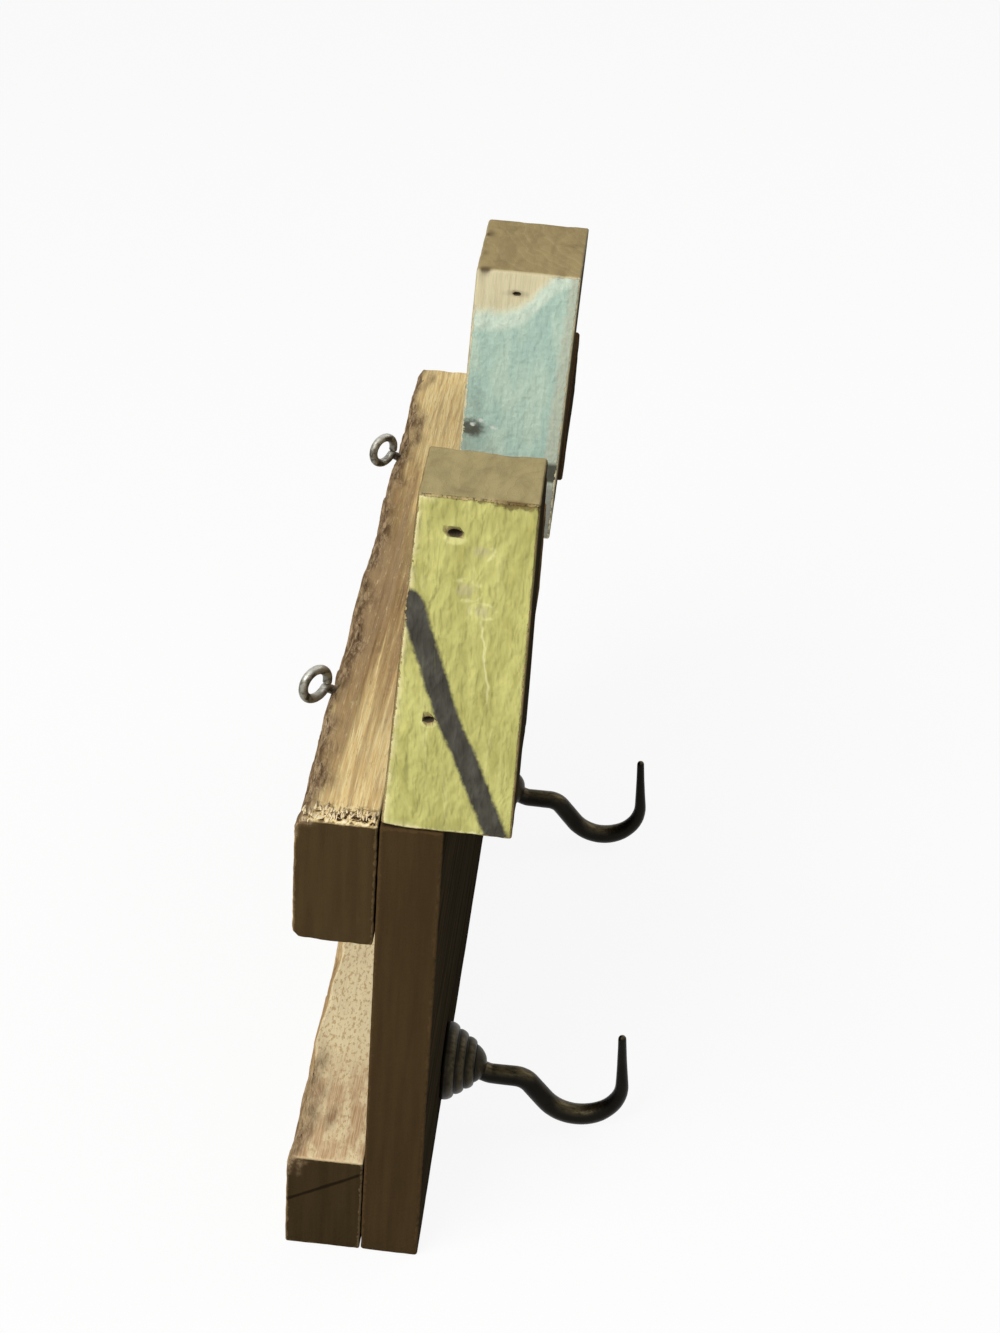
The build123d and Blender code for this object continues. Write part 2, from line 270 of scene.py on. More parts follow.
def finishSurface(shader, surface):  # colour, roughness and height in millimetres to the shader
    plug(surface["colour"], shader.inputs["Base Color"])
    plug(surface["rough"], shader.inputs["Roughness"])
    bump = put("ShaderNodeBump", {"Height": surface["height"], "Distance": mm}).outputs[0]
    plug(bump, shader.inputs["Normal"])


def coat(under, mask, **over):  # lays a colour, roughness or height over what is there
    made = dict(under)
    for key, value in over.items():
        made[key] = (blend if key == "colour" else mixValue)(mask, under[key], value)
    return made


def grainWise(spot, grain):  # turns the coordinates so that the grain runs along their X
    turn = {"x": (0.0, 0.0, 0.0), "z": (0.0, math.pi / 2, 0.0)}[grain]
    return put("ShaderNodeMapping", {"Vector": spot, "Rotation": turn}).outputs[0]


timberTones = {  # light, dark, end grain and stain of each piece of wood
    "board": ((128, 96, 62), (84, 58, 36), (92, 66, 42), (64, 50, 31)),
    "upperBatten": ((198, 168, 118), (134, 108, 74), (120, 94, 62), (68, 54, 34)),
    "lowerBatten": ((214, 186, 138), (164, 132, 90), (130, 102, 68), (57, 45, 28)),
    "green": ((184, 160, 112), (132, 108, 70), (161, 147, 106), (58, 47, 30)),
    "brown": ((120, 86, 54), (78, 52, 32), (118, 92, 60), (60, 45, 28)),
    "low": ((168, 132, 88), (118, 84, 52), (138, 108, 72), (66, 50, 32)),
    "blue": ((218, 205, 166), (196, 180, 138), (157, 139, 99), (60, 48, 32)),
    "end": ((132, 98, 62), (86, 60, 38), (124, 98, 66), (60, 46, 30)),
}
timberLook = {
    "ringPitch": 3.4,
    "waver": 9.0,
    "bareRoughness": 0.78,
    "stainRoughness": 0.72,
    "shaded": (43, 37, 27),
    "depths": {"Fibre": 0.10, "Ring": 0.06, "Pore": -0.05},
    "dirtSize": 11.0,
    "dirt": 0.42,
}


def timberBase(spot, tone, grain, pith):  # bare wood with its end grain, dirt and stain
    light, dark, endTone, stain = timberTones[tone]
    look = timberLook
    figure = place(
        timberFigure, Vector=grainWise(spot, grain), Pith=pith, RingPitch=look["ringPitch"], Waver=look["waver"]
    )
    endGrain, edge = vertexValue(spot, "endGrain"), vertexValue(spot, "edge")
    streaks = plus(times(figure["Ring"], 0.5), spread(figure["Streak"], 0.38, 0.66, 0.0, 0.75))
    surface = {
        "colour": blend(streaks, light, dark),
        "rough": mixValue(figure["Fibre"], look["bareRoughness"] + 0.08, look["bareRoughness"] - 0.1),
    }
    surface["colour"] = shade(surface["colour"], spread(figure["Fibre"], 0.3, 0.62, 0.72, 1.06), 0.85)
    endShade = plus(times(figure["Ring"], 0.24), times(figure["Pore"], 0.25))
    endColour = blend(endShade, endTone, dark)
    stainedEnd = mottle(spot, (0.07, 0.2, 0.2), 3.0, 0.6, 0.5)
    endColour = shade(endColour, spread(stainedEnd, 0.34, 0.66, 0.86, 1.06), 1.0)
    surface["colour"] = blend(endGrain, surface["colour"], endColour)
    dirt = place(oldDirt, Vector=spot, Size=look["dirtSize"], Amount=look["dirt"])["Mask"]
    surface["colour"] = shade(surface["colour"], 0.62, times(dirt, 0.7))
    surface["height"] = plus(*(times(figure[part], depth) for part, depth in look["depths"].items()))
    stained = times(vertexValue(spot, "stain"), spread(figure["Fibre"], 0.2, 0.5, 0.92, 1.0))
    runs = mottle(spot, (0.35, 0.35, 0.025), 3.0, 0.55)
    stainTone = shade(stain, spread(runs, 0.3, 0.7, 0.84, 1.05), 1.0)
    stainTone = shade(stainTone, spread(figure["Fibre"], 0.3, 0.65, 0.86, 1.08), 0.6)
    shadedTone = shade(look["shaded"], spread(figure["Fibre"], 0.3, 0.65, 0.72, 1.3), 1.0)
    shadedTone = shade(shadedTone, spread(streaks, 0.0, 0.8, 1.22, 0.66), 1.0)
    stainTone = blend(vertexValue(spot, "front"), stainTone, shadedTone)
    surface = coat(surface, stained, colour=stainTone, rough=look["stainRoughness"])
    rubbedAndSheen = place(edgeWear, Vector=spot, Edge=edge, Amount=0.3, Grain=0.5)["Mask"]
    rubbedTone = tuple(0.8 * first + 0.2 * second for first, second in zip(colour(*stain), colour(*light)))
    surface = coat(surface, times(rubbedAndSheen, stained, 0.5), colour=rubbedTone, rough=0.6)
    return surface, figure


def timberMaterial(name, tone, grain, pith, finish=None):
    material, shader, spot = newMaterial(name)
    surface, figure = timberBase(spot, tone, grain, pith)
    if finish:
        surface = finish(spot, surface, figure)
    finishSurface(shader, surface)
    shader.inputs["Specular IOR Level"].default_value = 0.0
    return material


def barkLook(spot):  # grey weathered bark with dark cracks
    feed = {"Vector": vectorCalc("MULTIPLY", spot, (0.22, 0.6, 0.6)), "Scale": 1.0}
    crackled = put("ShaderNodeTexVoronoi", feed, feature="DISTANCE_TO_EDGE").outputs["Distance"]
    crumb = mottle(spot, (0.14, 0.5, 0.5), 4.0, 0.65)
    tone = blend(spread(crumb, 0.35, 0.68), (100, 78, 55), (176, 152, 118))
    tone = blend(times(spread(crackled, 0.09, 0.01), 0.4), tone, (68, 52, 37))
    rise = plus(times(crumb, 0.35), times(spread(crackled, 0.0, 0.2), 0.15))
    return {"colour": tone, "rough": 0.92, "height": rise}


def finishUpperBatten(spot, surface, figure):  # pale at both ends and along the seam with the blocks
    parts = axesOf(spot)
    fromMiddle = calc("DIVIDE", sizeOf(plus(parts["X"], 22.0)), 125.0)
    towardsSeam = calc("DIVIDE", times(plus(parts["Y"], 10.0), -1.0), 34.0)
    level = plus(fromMiddle, towardsSeam, times(minus(figure["Streak"], 0.5), 2.4))
    top = vertexValue(spot, "top")
    # the pale cream is bare wood, painted paler still as light to make up for the shade near the blocks
    creamTone = blend(spread(figure["Fibre"], 0.3, 0.7), (252, 232, 174), (224, 190, 126))
    surface = coat(surface, times(spread(level, 0.45, 1.1), top, 0.9), colour=creamTone)
    surface = coat(surface, times(spread(level, 0.55, 0.05), top, 0.6), colour=(150, 126, 98))
    fleck = mottle(spot, (0.16, 0.9, 0.9), 4.0, 0.7)
    surface = coat(surface, times(spread(fleck, 0.54, 0.68), top, 0.38), colour=(130, 103, 74))
    surface = coat(surface, times(spread(fleck, 0.44, 0.32), top, 0.5), colour=(226, 204, 158))
    vein = mottle(spot, (0.028, 0.5, 0.5), 3.0, 0.55)
    surface = coat(surface, times(spread(vein, 0.5, 0.64), top, 0.45), colour=(160, 130, 94))
    # torn fibres at the near end: dark spots are painted shade in the gouges, pale spots are painted highlight
    # on the raised fibres
    torn = times(spread(parts["X"], -141.0, -148.0), top)
    tornShadeAndHighlight = mottle(spot, (0.3, 0.34, 0.5), 4.0, 0.7, 1.0)
    surface = coat(surface, times(torn, spread(tornShadeAndHighlight, 0.48, 0.56)), colour=(66, 48, 30))
    surface = coat(surface, times(torn, spread(tornShadeAndHighlight, 0.46, 0.4)), colour=(238, 224, 188))
    return coat(surface, vertexValue(spot, "bark"), **barkLook(spot))


def finishLowerBatten(spot, surface, figure):  # cream top, painted paler than the bare wood as light where the upper batten shades it; browner and barky to the left
    parts = axesOf(spot)
    top = vertexValue(spot, "top")
    speck = mottle(spot, (0.42, 0.85, 0.85), 3.0, 0.65)
    patches = mottle(spot, (0.06, 0.16, 0.16), 3.0, 0.6)
    # the cream is bare wood, raised paler still as painted light under the upper batten's shade
    surface = coat(surface, times(top, 0.85), colour=(250, 234, 190))
    surface = coat(surface, times(spread(speck, 0.5, 0.62), top, 0.7), colour=(190, 152, 102))
    leftward = spread(plus(parts["X"], times(patches, 40.0)), -72.0, -100.0)
    browner = times(leftward, top, spread(patches, 0.38, 0.58, 0.2, 0.95))
    brownTone = blend(spread(figure["Fibre"], 0.35, 0.65), (216, 186, 146), (180, 144, 104))
    surface = coat(surface, browner, colour=brownTone)
    barky = times(vertexValue(spot, "bark"), plus(times(leftward, 0.8), 0.2))
    surface = coat(surface, times(barky, 0.8), **barkLook(spot))
    # a split across the near end of the grain, painted as a dark line of shade in the crack
    crackShade = minus(parts["Z"], plus(times(parts["Y"], -0.59), -131.0))
    crackShade = plus(sizeOf(crackShade), times(mottle(spot, 0.3, 3.0), 0.9))
    crackShade = times(spread(crackShade, 1.5, 0.7), vertexValue(spot, "endGrain"), 0.8)
    return coat(surface, crackShade, colour=(24, 19, 13))


def farFrom(spot, y, z, reachY, reachZ):  # distance from a place on a painted side, 1 at its rim
    away = vectorCalc("SUBTRACT", spot, (0.0, y, z))
    return lengthOf(vectorCalc("MULTIPLY", away, (0.0, 1 / reachY, 1 / reachZ)))


def paintFilm(spot, brush, wear, grain):  # where the paint still holds
    worn = place(edgeWear, Vector=spot, Edge=vertexValue(spot, "edge"), Amount=wear, Grain=grain)["Mask"]
    return times(vertexValue(spot, "paint"), spread(brush["Bare"], 0.6, 0.2), spread(worn, 0.7, 0.2))


def alongCurve(value, start, end, points, first, last):  # a drawn curve over a stretch, between two levels
    share = put("ShaderNodeMapRange", {0: value, 1: start, 2: end}).outputs[0]
    return put("ShaderNodeMapRange", {0: curveValue(share, points), 3: first, 4: last}).outputs[0]


greenPaint = {
    "strokeTop": 103.5,  # levels of the black stroke's two ends
    "strokeFoot": 21.0,
    "strokeLine": ((0.0, 0.0), (0.2, 0.22), (0.34, 0.37), (0.5, 0.565), (0.65, 0.7), (0.8, 0.835), (1.0, 1.0)),
    "strokeStart": -59.6,  # Y of its middle at the foot and at the top
    "strokeEnd": -29.8,
    "strokeHalf": 3.5,
    # Y, Z and reach each way
    "scuffs": ((-49.0, 116.5, 3.4, 2.6), (-45.5, 104.2, 4.2, 3.2), (-50.5, 98.0, 3.6, 2.4)),
    "rimGlints": ((-41.7, 119.8, 3.4, 2.125), (-37.5, 60.0, 2.6, 1.625)),
}


def finishGreenBlock(spot, surface, figure):  # yellow-green paint with one broad black brush stroke
    parts = axesOf(spot)
    brush = place(brushedPaint, Vector=grainWise(spot, "z"), Stroke=2.4, Flaking=0.12)
    film = paintFilm(spot, brush, wear=0.22, grain=0.75)
    tone = blend(spread(brush["Tone"], 0.34, 0.66), (167, 163, 97), (188, 184, 113))
    tone = blend(times(spread(brush["Lump"], 0.5, 0.72), 0.6), tone, (162, 157, 90))
    tone = blend(times(spread(brush["Ridge"], 0.54, 0.72), 0.5), tone, (204, 200, 134))
    tone = blend(times(spread(brush["Ridge"], 0.44, 0.28), 0.5), tone, (152, 147, 82))
    # a dark ragged line of painted shade in the gap at the paint's torn top edge under the end grain, and pale
    # chips along the foot
    ragged = times(minus(mottle(spot, 0.35, 4.0, 0.7), 0.5), 5.0)
    heavier = spread(parts["Y"], -44.0, -56.0, 0.0, 1.3)
    rimShadeLine = spread(plus(parts["Z"], ragged, heavier), 131.2, 132.4)
    tone = blend(times(rimShadeLine, 0.75), tone, (88, 72, 44))
    footLine = spread(minus(parts["Z"], ragged), 24.2, 23.0)
    tone = blend(times(footLine, 0.6), tone, (222, 216, 172))
    patchy = spread(mottle(spot, 0.2, 3.0), 0.35, 0.55, 0.35, 0.9)
    creamEdge = times(vertexValue(spot, "edge"), spread(parts["Y"], -38.0, -35.0), patchy)
    tone = blend(creamEdge, tone, (228, 216, 168))
    # the black stroke
    paint = greenPaint
    middle = alongCurve(
        parts["Z"], paint["strokeFoot"], paint["strokeTop"], paint["strokeLine"],
        paint["strokeStart"], paint["strokeEnd"],
    )
    capped = calc("MAXIMUM", minus(parts["Z"], paint["strokeTop"] - 4.5), 0.0)
    off = lengthOf(joined(sizeOf(minus(parts["Y"], middle)), times(capped, 0.85)))
    off = plus(off, times(ragged, 0.42))
    stroke = spread(off, paint["strokeHalf"] + 0.8, paint["strokeHalf"] - 0.7)
    strokeTone = blend(spread(brush["Lump"], 0.35, 0.7), (60, 58, 54), (76, 74, 69))
    tone = blend(times(stroke, spread(brush["Ridge"], 0.74, 0.6, 0.88, 0.98)), tone, strokeTone)
    # scuffs that show the grey primer, and a pale split beside them
    for scuff in paint["scuffs"]:
        far = farFrom(spot, *scuff)
        patch = spread(plus(far, times(mottle(spot, 0.8, 3.0), 1.3)), 1.5, 1.0)
        tone = blend(times(patch, 0.45), tone, (176, 165, 132))
        # painted highlight: pale arcs on the edge of each scuff
        rim = times(spread(sizeOf(minus(far, 1.0)), 0.3, 0.05), spread(mottle(spot, 0.3), 0.48, 0.6))
        tone = blend(times(rim, 0.4), tone, (220, 216, 160))
    splitLine = plus(times(parts["Z"], 0.13), -64.3)
    beside = sizeOf(minus(minus(parts["Y"], splitLine), times(mottle(spot, 0.16), 3.0)))
    split = times(spread(beside, 0.55, 0.1), spread(parts["Z"], 66.0, 72.0), spread(parts["Z"], 98.0, 92.0))
    tone = blend(times(split, 0.5), tone, (222, 217, 158))
    # painted highlight: a pale patch on the lower rim under each nail hole
    for rimGlint in paint["rimGlints"]:  # pale, under each nail hole
        tone = blend(times(spread(farFrom(spot, *rimGlint), 1.1, 0.7), 0.5), tone, (216, 212, 146))
    daub = mottle(spot, (0.42, 0.42, 0.22), 1.0, 0.4, 0.2)
    tone = shade(tone, spread(daub, 0.3, 0.7, 0.93, 1.05), 0.8)
    thick = plus(times(brush["Ridge"], 0.3), times(brush["Lump"], 1.3), times(daub, 0.85), times(stroke, 0.12))
    gloss = mixValue(brush["Lump"], 0.48, 0.66)
    surface = coat(surface, film, colour=tone, rough=gloss, height=thick)
    chipped = times(vertexValue(spot, "chip"), 0.9)
    return coat(surface, chipped, colour=blend(figure["Fibre"], (120, 98, 60), (64, 48, 30)), rough=0.85)


bluePaint = {
    "edgeStart": -29.0,  # Y of the paint's slanting upper edge, from the wall side to the front
    "edgeEnd": -65.0,
    "edgeLine": ((0.0, 0.0), (0.26, 0.0), (0.45, 0.13), (0.58, 0.34), (0.7, 0.62), (0.88, 0.9), (1.0, 0.95)),
    "edgeFoot": 102.6,
    "edgeTop": 122.5,
    "flecks": ((-32.2, 64.9), (-39.4, 64.2), (-34.9, 66.4)),
}


def finishBlueBlock(spot, surface, figure):  # pale blue, whitish at its slanting masked line
    parts = axesOf(spot)
    brush = place(brushedPaint, Vector=grainWise(spot, "z"), Stroke=2.2, Flaking=0.1)
    paint = bluePaint
    edgeZ = alongCurve(
        parts["Y"], paint["edgeStart"], paint["edgeEnd"], paint["edgeLine"], paint["edgeFoot"], paint["edgeTop"]
    )
    below = plus(minus(edgeZ, parts["Z"]), times(minus(mottle(spot, 0.3, 4.0, 0.6), 0.5), 4.0))
    film = times(paintFilm(spot, brush, wear=0.34, grain=0.7), spread(below, -7.0, -1.5))
    surface = coat(surface, times(vertexValue(spot, "paint"), 0.6), colour=(203, 196, 162))
    # a grey smudge round the nail hole
    far = farFrom(spot, -44.0, 114.0, 5.0, 1.6129)
    smudge = spread(plus(far, times(mottle(spot, 0.5, 3.0, 0.6), 0.8)), 1.5, 0.6)
    surface = coat(surface, times(smudge, 0.6), colour=(142, 132, 108))
    tone = blend(spread(brush["Tone"], 0.36, 0.64), (163, 188, 174), (178, 198, 180))
    tone = blend(times(spread(brush["Ridge"], 0.54, 0.7), 0.4), tone, (190, 208, 190))
    tone = blend(times(spread(brush["Ridge"], 0.44, 0.3), 0.35), tone, (146, 170, 158))
    # darker and greyer towards the wall side and the foot
    towardsFootAndWall = plus(times(parts["Y"], 0.022), times(parts["Z"], -0.011), mottle(spot, 0.16, 4.0, 0.65))
    tone = blend(times(spread(towardsFootAndWall, -1.15, -0.75), 0.55), tone, (132, 144, 130))
    whitish = times(spread(below, 4.5, 0.5), spread(brush["Lump"], 0.3, 0.6, 0.6, 0.95))
    tone = blend(whitish, tone, (200, 213, 194))
    # grey-beige wear that widens downwards along the front edge
    wearStart = plus(times(minus(122.0, parts["Z"]), 0.06), -61.6)
    wear = minus(plus(wearStart, times(mottle(spot, 0.35, 3.0), 3.0)), parts["Y"])
    tone = blend(times(spread(wear, 0.4, 2.4), 0.75), tone, (178, 182, 162))
    # the dark bruise with a white chip, and the scraped foot
    far = farFrom(spot, -31.5, 63.4, 5.2, 3.8)
    bruise = spread(plus(far, times(mottle(spot, 0.4, 4.0, 0.7), 1.3)), 1.9, 1.1)
    tone = blend(times(bruise, 0.85), tone, (66, 58, 48))
    for chip in paint["flecks"]:
        far = farFrom(spot, *chip, 1.6129, 1.1111)
        fleck = spread(plus(far, times(mottle(spot, 0.8, 3.0, 0.7), 2.0)), 1.9, 1.2)
        tone = blend(times(fleck, 0.85), tone, (210, 215, 203))
    scraped = spread(plus(parts["Z"], times(mottle(spot, 0.25, 3.0), 8.0)), 50.0, 47.0)
    tone = blend(times(scraped, 0.85), tone, (132, 130, 120))
    band = times(spread(parts["Z"], 44.5, 46.0), spread(parts["Z"], 53.5, 51.5))
    tone = blend(times(band, 0.9), tone, (60, 57, 49))
    pimpled = mottle(spot, 0.5, 2.0, 0.5)
    tone = shade(tone, spread(pimpled, 0.35, 0.65, 0.95, 1.03), 0.8)
    thick = plus(times(brush["Ridge"], 0.25), times(brush["Lump"], 0.9), times(pimpled, 0.4))
    surface = coat(surface, film, colour=tone, rough=mixValue(brush["Lump"], 0.46, 0.62), height=thick)
    chipped = times(vertexValue(spot, "chip"), 0.85)
    return coat(surface, chipped, colour=(66, 50, 34), rough=0.85)


materials = {
    "hookBoard": timberMaterial("hookBoardStain", "board", "x", (0.0, -60.0, -190.0)),
    "upperBatten": timberMaterial("upperBattenWood", "upperBatten", "x", (0.0, 24.0, -34.0), finishUpperBatten),
    "lowerBatten": timberMaterial(
        "lowerBattenWood", "lowerBatten", "x", (0.0, 30.0, -170.0), finishLowerBatten
    ),
    "greenBlock": timberMaterial("greenBlockPaint", "green", "z", (0.0, -78.0, 150.0), finishGreenBlock),
    "brownBlock": timberMaterial("brownBlockStain", "brown", "z", (0.0, -10.0, 96.0)),
    "lowBlock": timberMaterial("lowBlockWood", "low", "x", (0.0, -88.0, 12.0)),
    "blueBlock": timberMaterial("blueBlockPaint", "blue", "z", (0.0, -96.0, -70.0), finishBlueBlock),
    "endBlock": timberMaterial("endBlockStain", "end", "x", (0.0, -20.0, 80.0)),
}


def plainWood(name, light, dark, grain):  # splinters, dowels and the walls of old nail holes
    material, shader, spot = newMaterial(name)
    figure = place(timberFigure, Vector=grainWise(spot, grain), Pith=(0.0, 0.0, 0.0), RingPitch=1.2, Waver=3.0)
    surface = {
        "colour": blend(plus(times(figure["Fibre"], 0.7), times(figure["Ring"], 0.4)), light, dark),
        "rough": mixValue(figure["Fibre"], 0.72, 0.9),
        "height": times(figure["Fibre"], 0.08),
    }
    finishSurface(shader, surface)
    return material


materials["splinter"] = plainWood("rawSplinter", (240, 226, 190), (206, 176, 126), "x")
materials["holeWall"] = plainWood("nailHoleWall", (88, 76, 48), (46, 38, 25), "x")
materials["dowel"] = plainWood("dowelBeech", (208, 172, 124), (168, 128, 84), "z")


def barkMaterial():
    material, shader, spot = newMaterial("looseBark")
    finishSurface(shader, barkLook(spot))
    return material


materials["bark"] = barkMaterial()

metalTones = {  # base, tarnish and worn colour (also the painted highlight on top of the arms and eye wires), metallic, roughness, cloud size in millimetres
    "hook": ((24, 22, 16), (18, 16, 12), (74, 65, 45), 0.8, 0.42, 14.0),
    "eye": ((146, 144, 132), (70, 64, 52), (196, 194, 184), 0.65, 0.48, 3.0),
    "screw": ((150, 146, 138), (88, 80, 70), (190, 188, 182), 0.9, 0.36, 2.0),
}


def metalMaterial(name, tone):
    base, tarnish, rubbedAndSheen, metallic, roughness, cloud = metalTones[tone]
    material, shader, spot = newMaterial(name)
    aged = place(agedMetal, Vector=spot, Cloud=cloud)
    tone = blend(spread(aged["Tarnish"], 0.4, 0.62), base, tarnish)
    # the lighter colour goes where the mesh marks it: worn ridges of rosettes and noses, and painted highlight
    # on the upper side of the arms and eye wires
    high = times(vertexValue(spot, "rubAndSheen"), spread(aged["Scratch"], 0.1, 0.7))
    tone = blend(high, tone, rubbedAndSheen)
    grit = plus(times(aged["Tarnish"], 0.22), roughness - 0.08)
    surface = {
        "colour": blend(times(aged["Pit"], 0.4), tone, tarnish),
        "rough": mixValue(high, grit, roughness - 0.1),
        "height": plus(times(aged["Pit"], -0.03), times(aged["Tarnish"], 0.05)),
    }
    finishSurface(shader, surface)
    shader.inputs["Metallic"].default_value = metallic
    shader.inputs["Specular IOR Level"].default_value = 0.2
    return material


for part in metalTones:
    materials[part] = metalMaterial(f"{part}Metal", part)
print("materials built")

# Sawn timber: a box skin with rows close together at its edges, worn, chipped and rippled in place
grid = {"fine": 0.42, "coarse": 1.7, "rim": 3.4, "growth": 1.32}
wood = {  # wavelengths, depths and reaches in millimetres
    "swell": (15, 15, 15),  # slow change of an edge's roundness
    "swelling": 0.45,
    "notch": (5.5, 5.5, 5.5),  # bites out of an edge
    "notching": 2.6,
    "notchFrom": 0.16,
    "roundness": (0.45, 3.6),
    "alongGrain": 46.0,
    "acrossGrain": 3.2,
    "warp": (26, 26, 26),
    "warping": 0.16,
    "edgeReach": 1.7,
    "chipFrom": 1.75,  # roundness that shows as a chip
    "chipBlend": 0.8,
    "faceReach": 0.8,
}
barkEdge = {
    "loose": ((9, 3, 3), 0.6, 0.45),  # wavelengths, sway and fade of where the bark stands off
    "seen": ((11, 3.5, 3.5), 0.9),  # and of where its colour shows
    "crumbs": (((6, 2.4, 2.4), 0.9, 13), ((16, 5, 5), 0.5, 17)),  # wavelengths, height and seed
    "sag": 0.6,
}
faceNames = ("left", "right", "front", "back", "bottom", "top")


def stations(length):
    half, step = [0.0], grid["fine"]
    while half[-1] + step < length / 2:
        half.append(half[-1] + step)
        if half[-1] > grid["rim"]:
            step = min(step * grid["growth"], grid["coarse"])
    half = np.array(half) * (length / 2 / half[-1])
    return np.concatenate([half, length - half[-2::-1]])


def boxSkin(size):  # points and quads of a box from 0 to size, faces outwards
    rows = [stations(length) for length in size]
    count = [len(row) for row in rows]
    skin = np.zeros(count, bool)
    for axis in range(3):
        for end in (0, -1):
            skin[(slice(None),) * axis + (end,)] = True
    index = np.full(count, -1)
    index[skin] = np.arange(skin.sum())
    points = np.stack([row[i] for row, i in zip(rows, np.nonzero(skin))], 1)
    quads = []
    for axis in range(3):
        for end in (0, -1):
            sheet = index[(slice(None),) * axis + (end,)]
            corners = [sheet[:-1, :-1], sheet[1:, :-1], sheet[1:, 1:], sheet[:-1, 1:]]
            cells = np.stack(corners, -1).reshape(-1, 4)
            outward = (end == -1) != (axis == 1)
            quads.append(cells if outward else cells[:, ::-1])
    return points, np.concatenate(quads)


def ripple(points, wavelengths, seed):  # smooth noise, -1 to 1, one value for each point
    waves = points / np.array(wavelengths) + seed
    return np.array([noise.noise(Vector(point)) for point in waves])


def waneWidth(x, wane):  # the bark edge swells and narrows along the batten
    swell = np.sin(2 * math.pi * x / wane["wave"]) + 0.5 * np.sin(2 * math.pi * x / (0.37 * wane["wave"]) + 1)
    return wane["mean"] + wane["swing"] * swell / 1.5


def timber(spec):
    low, high = (np.array(corner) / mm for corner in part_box(spec["node"]))
    size = high - low
    flat, quads = boxSkin(size)
    seed = spec["seed"]
    stretch = [wood["acrossGrain"]] * 3
    stretch["xyz".index(spec["grain"])] = wood["alongGrain"]
    radius = spec["edge"] * (1 + wood["swelling"] * ripple(flat, wood["swell"], seed))
    notches = np.clip(ripple(flat, wood["notch"], seed + 7) - wood["notchFrom"], 0, 1)
    radius = radius + spec["ragged"] * wood["notching"] * notches
    for chipAt, chipReach, depth in spec.get("chips", ()):
        away = (flat + low - np.array(chipAt)) / np.array(chipReach)
        radius = radius + depth * np.exp(-(away**2).sum(1))
    radius = np.clip(radius, *wood["roundness"])[:, None]
    inner = np.clip(flat, radius, size - radius)
    outward = (flat - inner) / np.linalg.norm(flat - inner, axis=1)[:, None]
    warp = wood["warping"] * (0.5 + 0.5 * ripple(flat, wood["warp"], seed + 5))
    fall = spec["relief"] * (0.5 + 0.5 * ripple(flat, stretch, seed + 3)) + warp
    points = inner + outward * (radius - fall[:, None])
    # closeness to each face and edge, for the coats
    gaps = np.concatenate([flat, size - flat], 1)[:, (0, 3, 1, 4, 2, 5)]
    nearest = np.sort(gaps, 1)
    masks = {"edge": np.exp(-((nearest[:, 1] / wood["edgeReach"]) ** 2))}
    chipped = np.clip((radius[:, 0] - wood["chipFrom"]) / wood["chipBlend"], 0, 1)
    masks["chip"] = chipped * np.exp(-((nearest[:, 1] / radius[:, 0]) ** 2))
    share = np.clip(1 - gaps / wood["faceReach"], 0, 1)
    share /= share.sum(1)[:, None]
    ends = {"x": ("left", "right"), "z": ("bottom", "top")}[spec["grain"]]
    coats = {
        "stain": spec["stain"], "paint": spec.get("paint", {}), "top": {"top": 1.0},
        "front": {"front": 1.0}, "endGrain": dict.fromkeys(ends, 1.0),
    }
    for name, amounts in coats.items():
        masks[name] = share @ np.array([amounts.get(face, 0.0) for face in faceNames])
    # lean of the front and back faces between foot and top
    climb = points[:, 2] / size[2]
    front, back = (foot + (top - foot) * climb for foot, top in spec.get("lean", ((0, 0), (0, 0))))
    points[:, 1] = front + points[:, 1] / size[1] * (size[1] - front - back)
    points += low
    if "wane" in spec:
        wane = spec["wane"]
        width = waneWidth(points[:, 0], wane)
        drop = width * wane["drop"] / wane["mean"]
        fromWall, fromTop = high[1] - points[:, 1], high[2] - points[:, 2]
        short = 1 - fromWall / width - fromTop / drop

        def clinging(waves, sway, fade):
            return np.clip(1 + short / fade + sway * ripple(points, waves, seed + 11), 0, 1)

        masks["bark"] = clinging(*barkEdge["seen"], wane["fade"])
        rough = sum(
            rise * np.clip(ripple(points, waves, seed + shift), 0, 1)
            for waves, rise, shift in barkEdge["crumbs"]
        )
        rough = rough * clinging(*barkEdge["loose"])
        push = np.clip(short, 0, None) / (1 / width**2 + 1 / drop**2)
        points[:, 1] -= push / width + rough
        points[:, 2] -= push / drop + rough * barkEdge["sag"]
    return makePiece(spec["name"], points * mm, quads, masks, materials[spec["name"]])


def makePiece(name, points, quads, masks, material):
    mesh = bpy.data.meshes.new(name)
    mesh.from_pydata([tuple(point) for point in points], [], [tuple(quad) for quad in quads])
    for label, values in masks.items():
        mesh.attributes.new(label, "FLOAT", "POINT").data.foreach_set("value", np.asarray(values, np.float32))
    mesh.materials.append(material)
    mesh.shade_smooth()
    piece = bpy.data.objects.new(name, mesh)
    scene.collection.objects.link(piece)
    return piece


boreShape = {"sides": 20, "above": 1.0, "shoulder": 0.25, "waist": 0.97, "tip": 0.8, "crook": 0.4, "wave": 0.9}


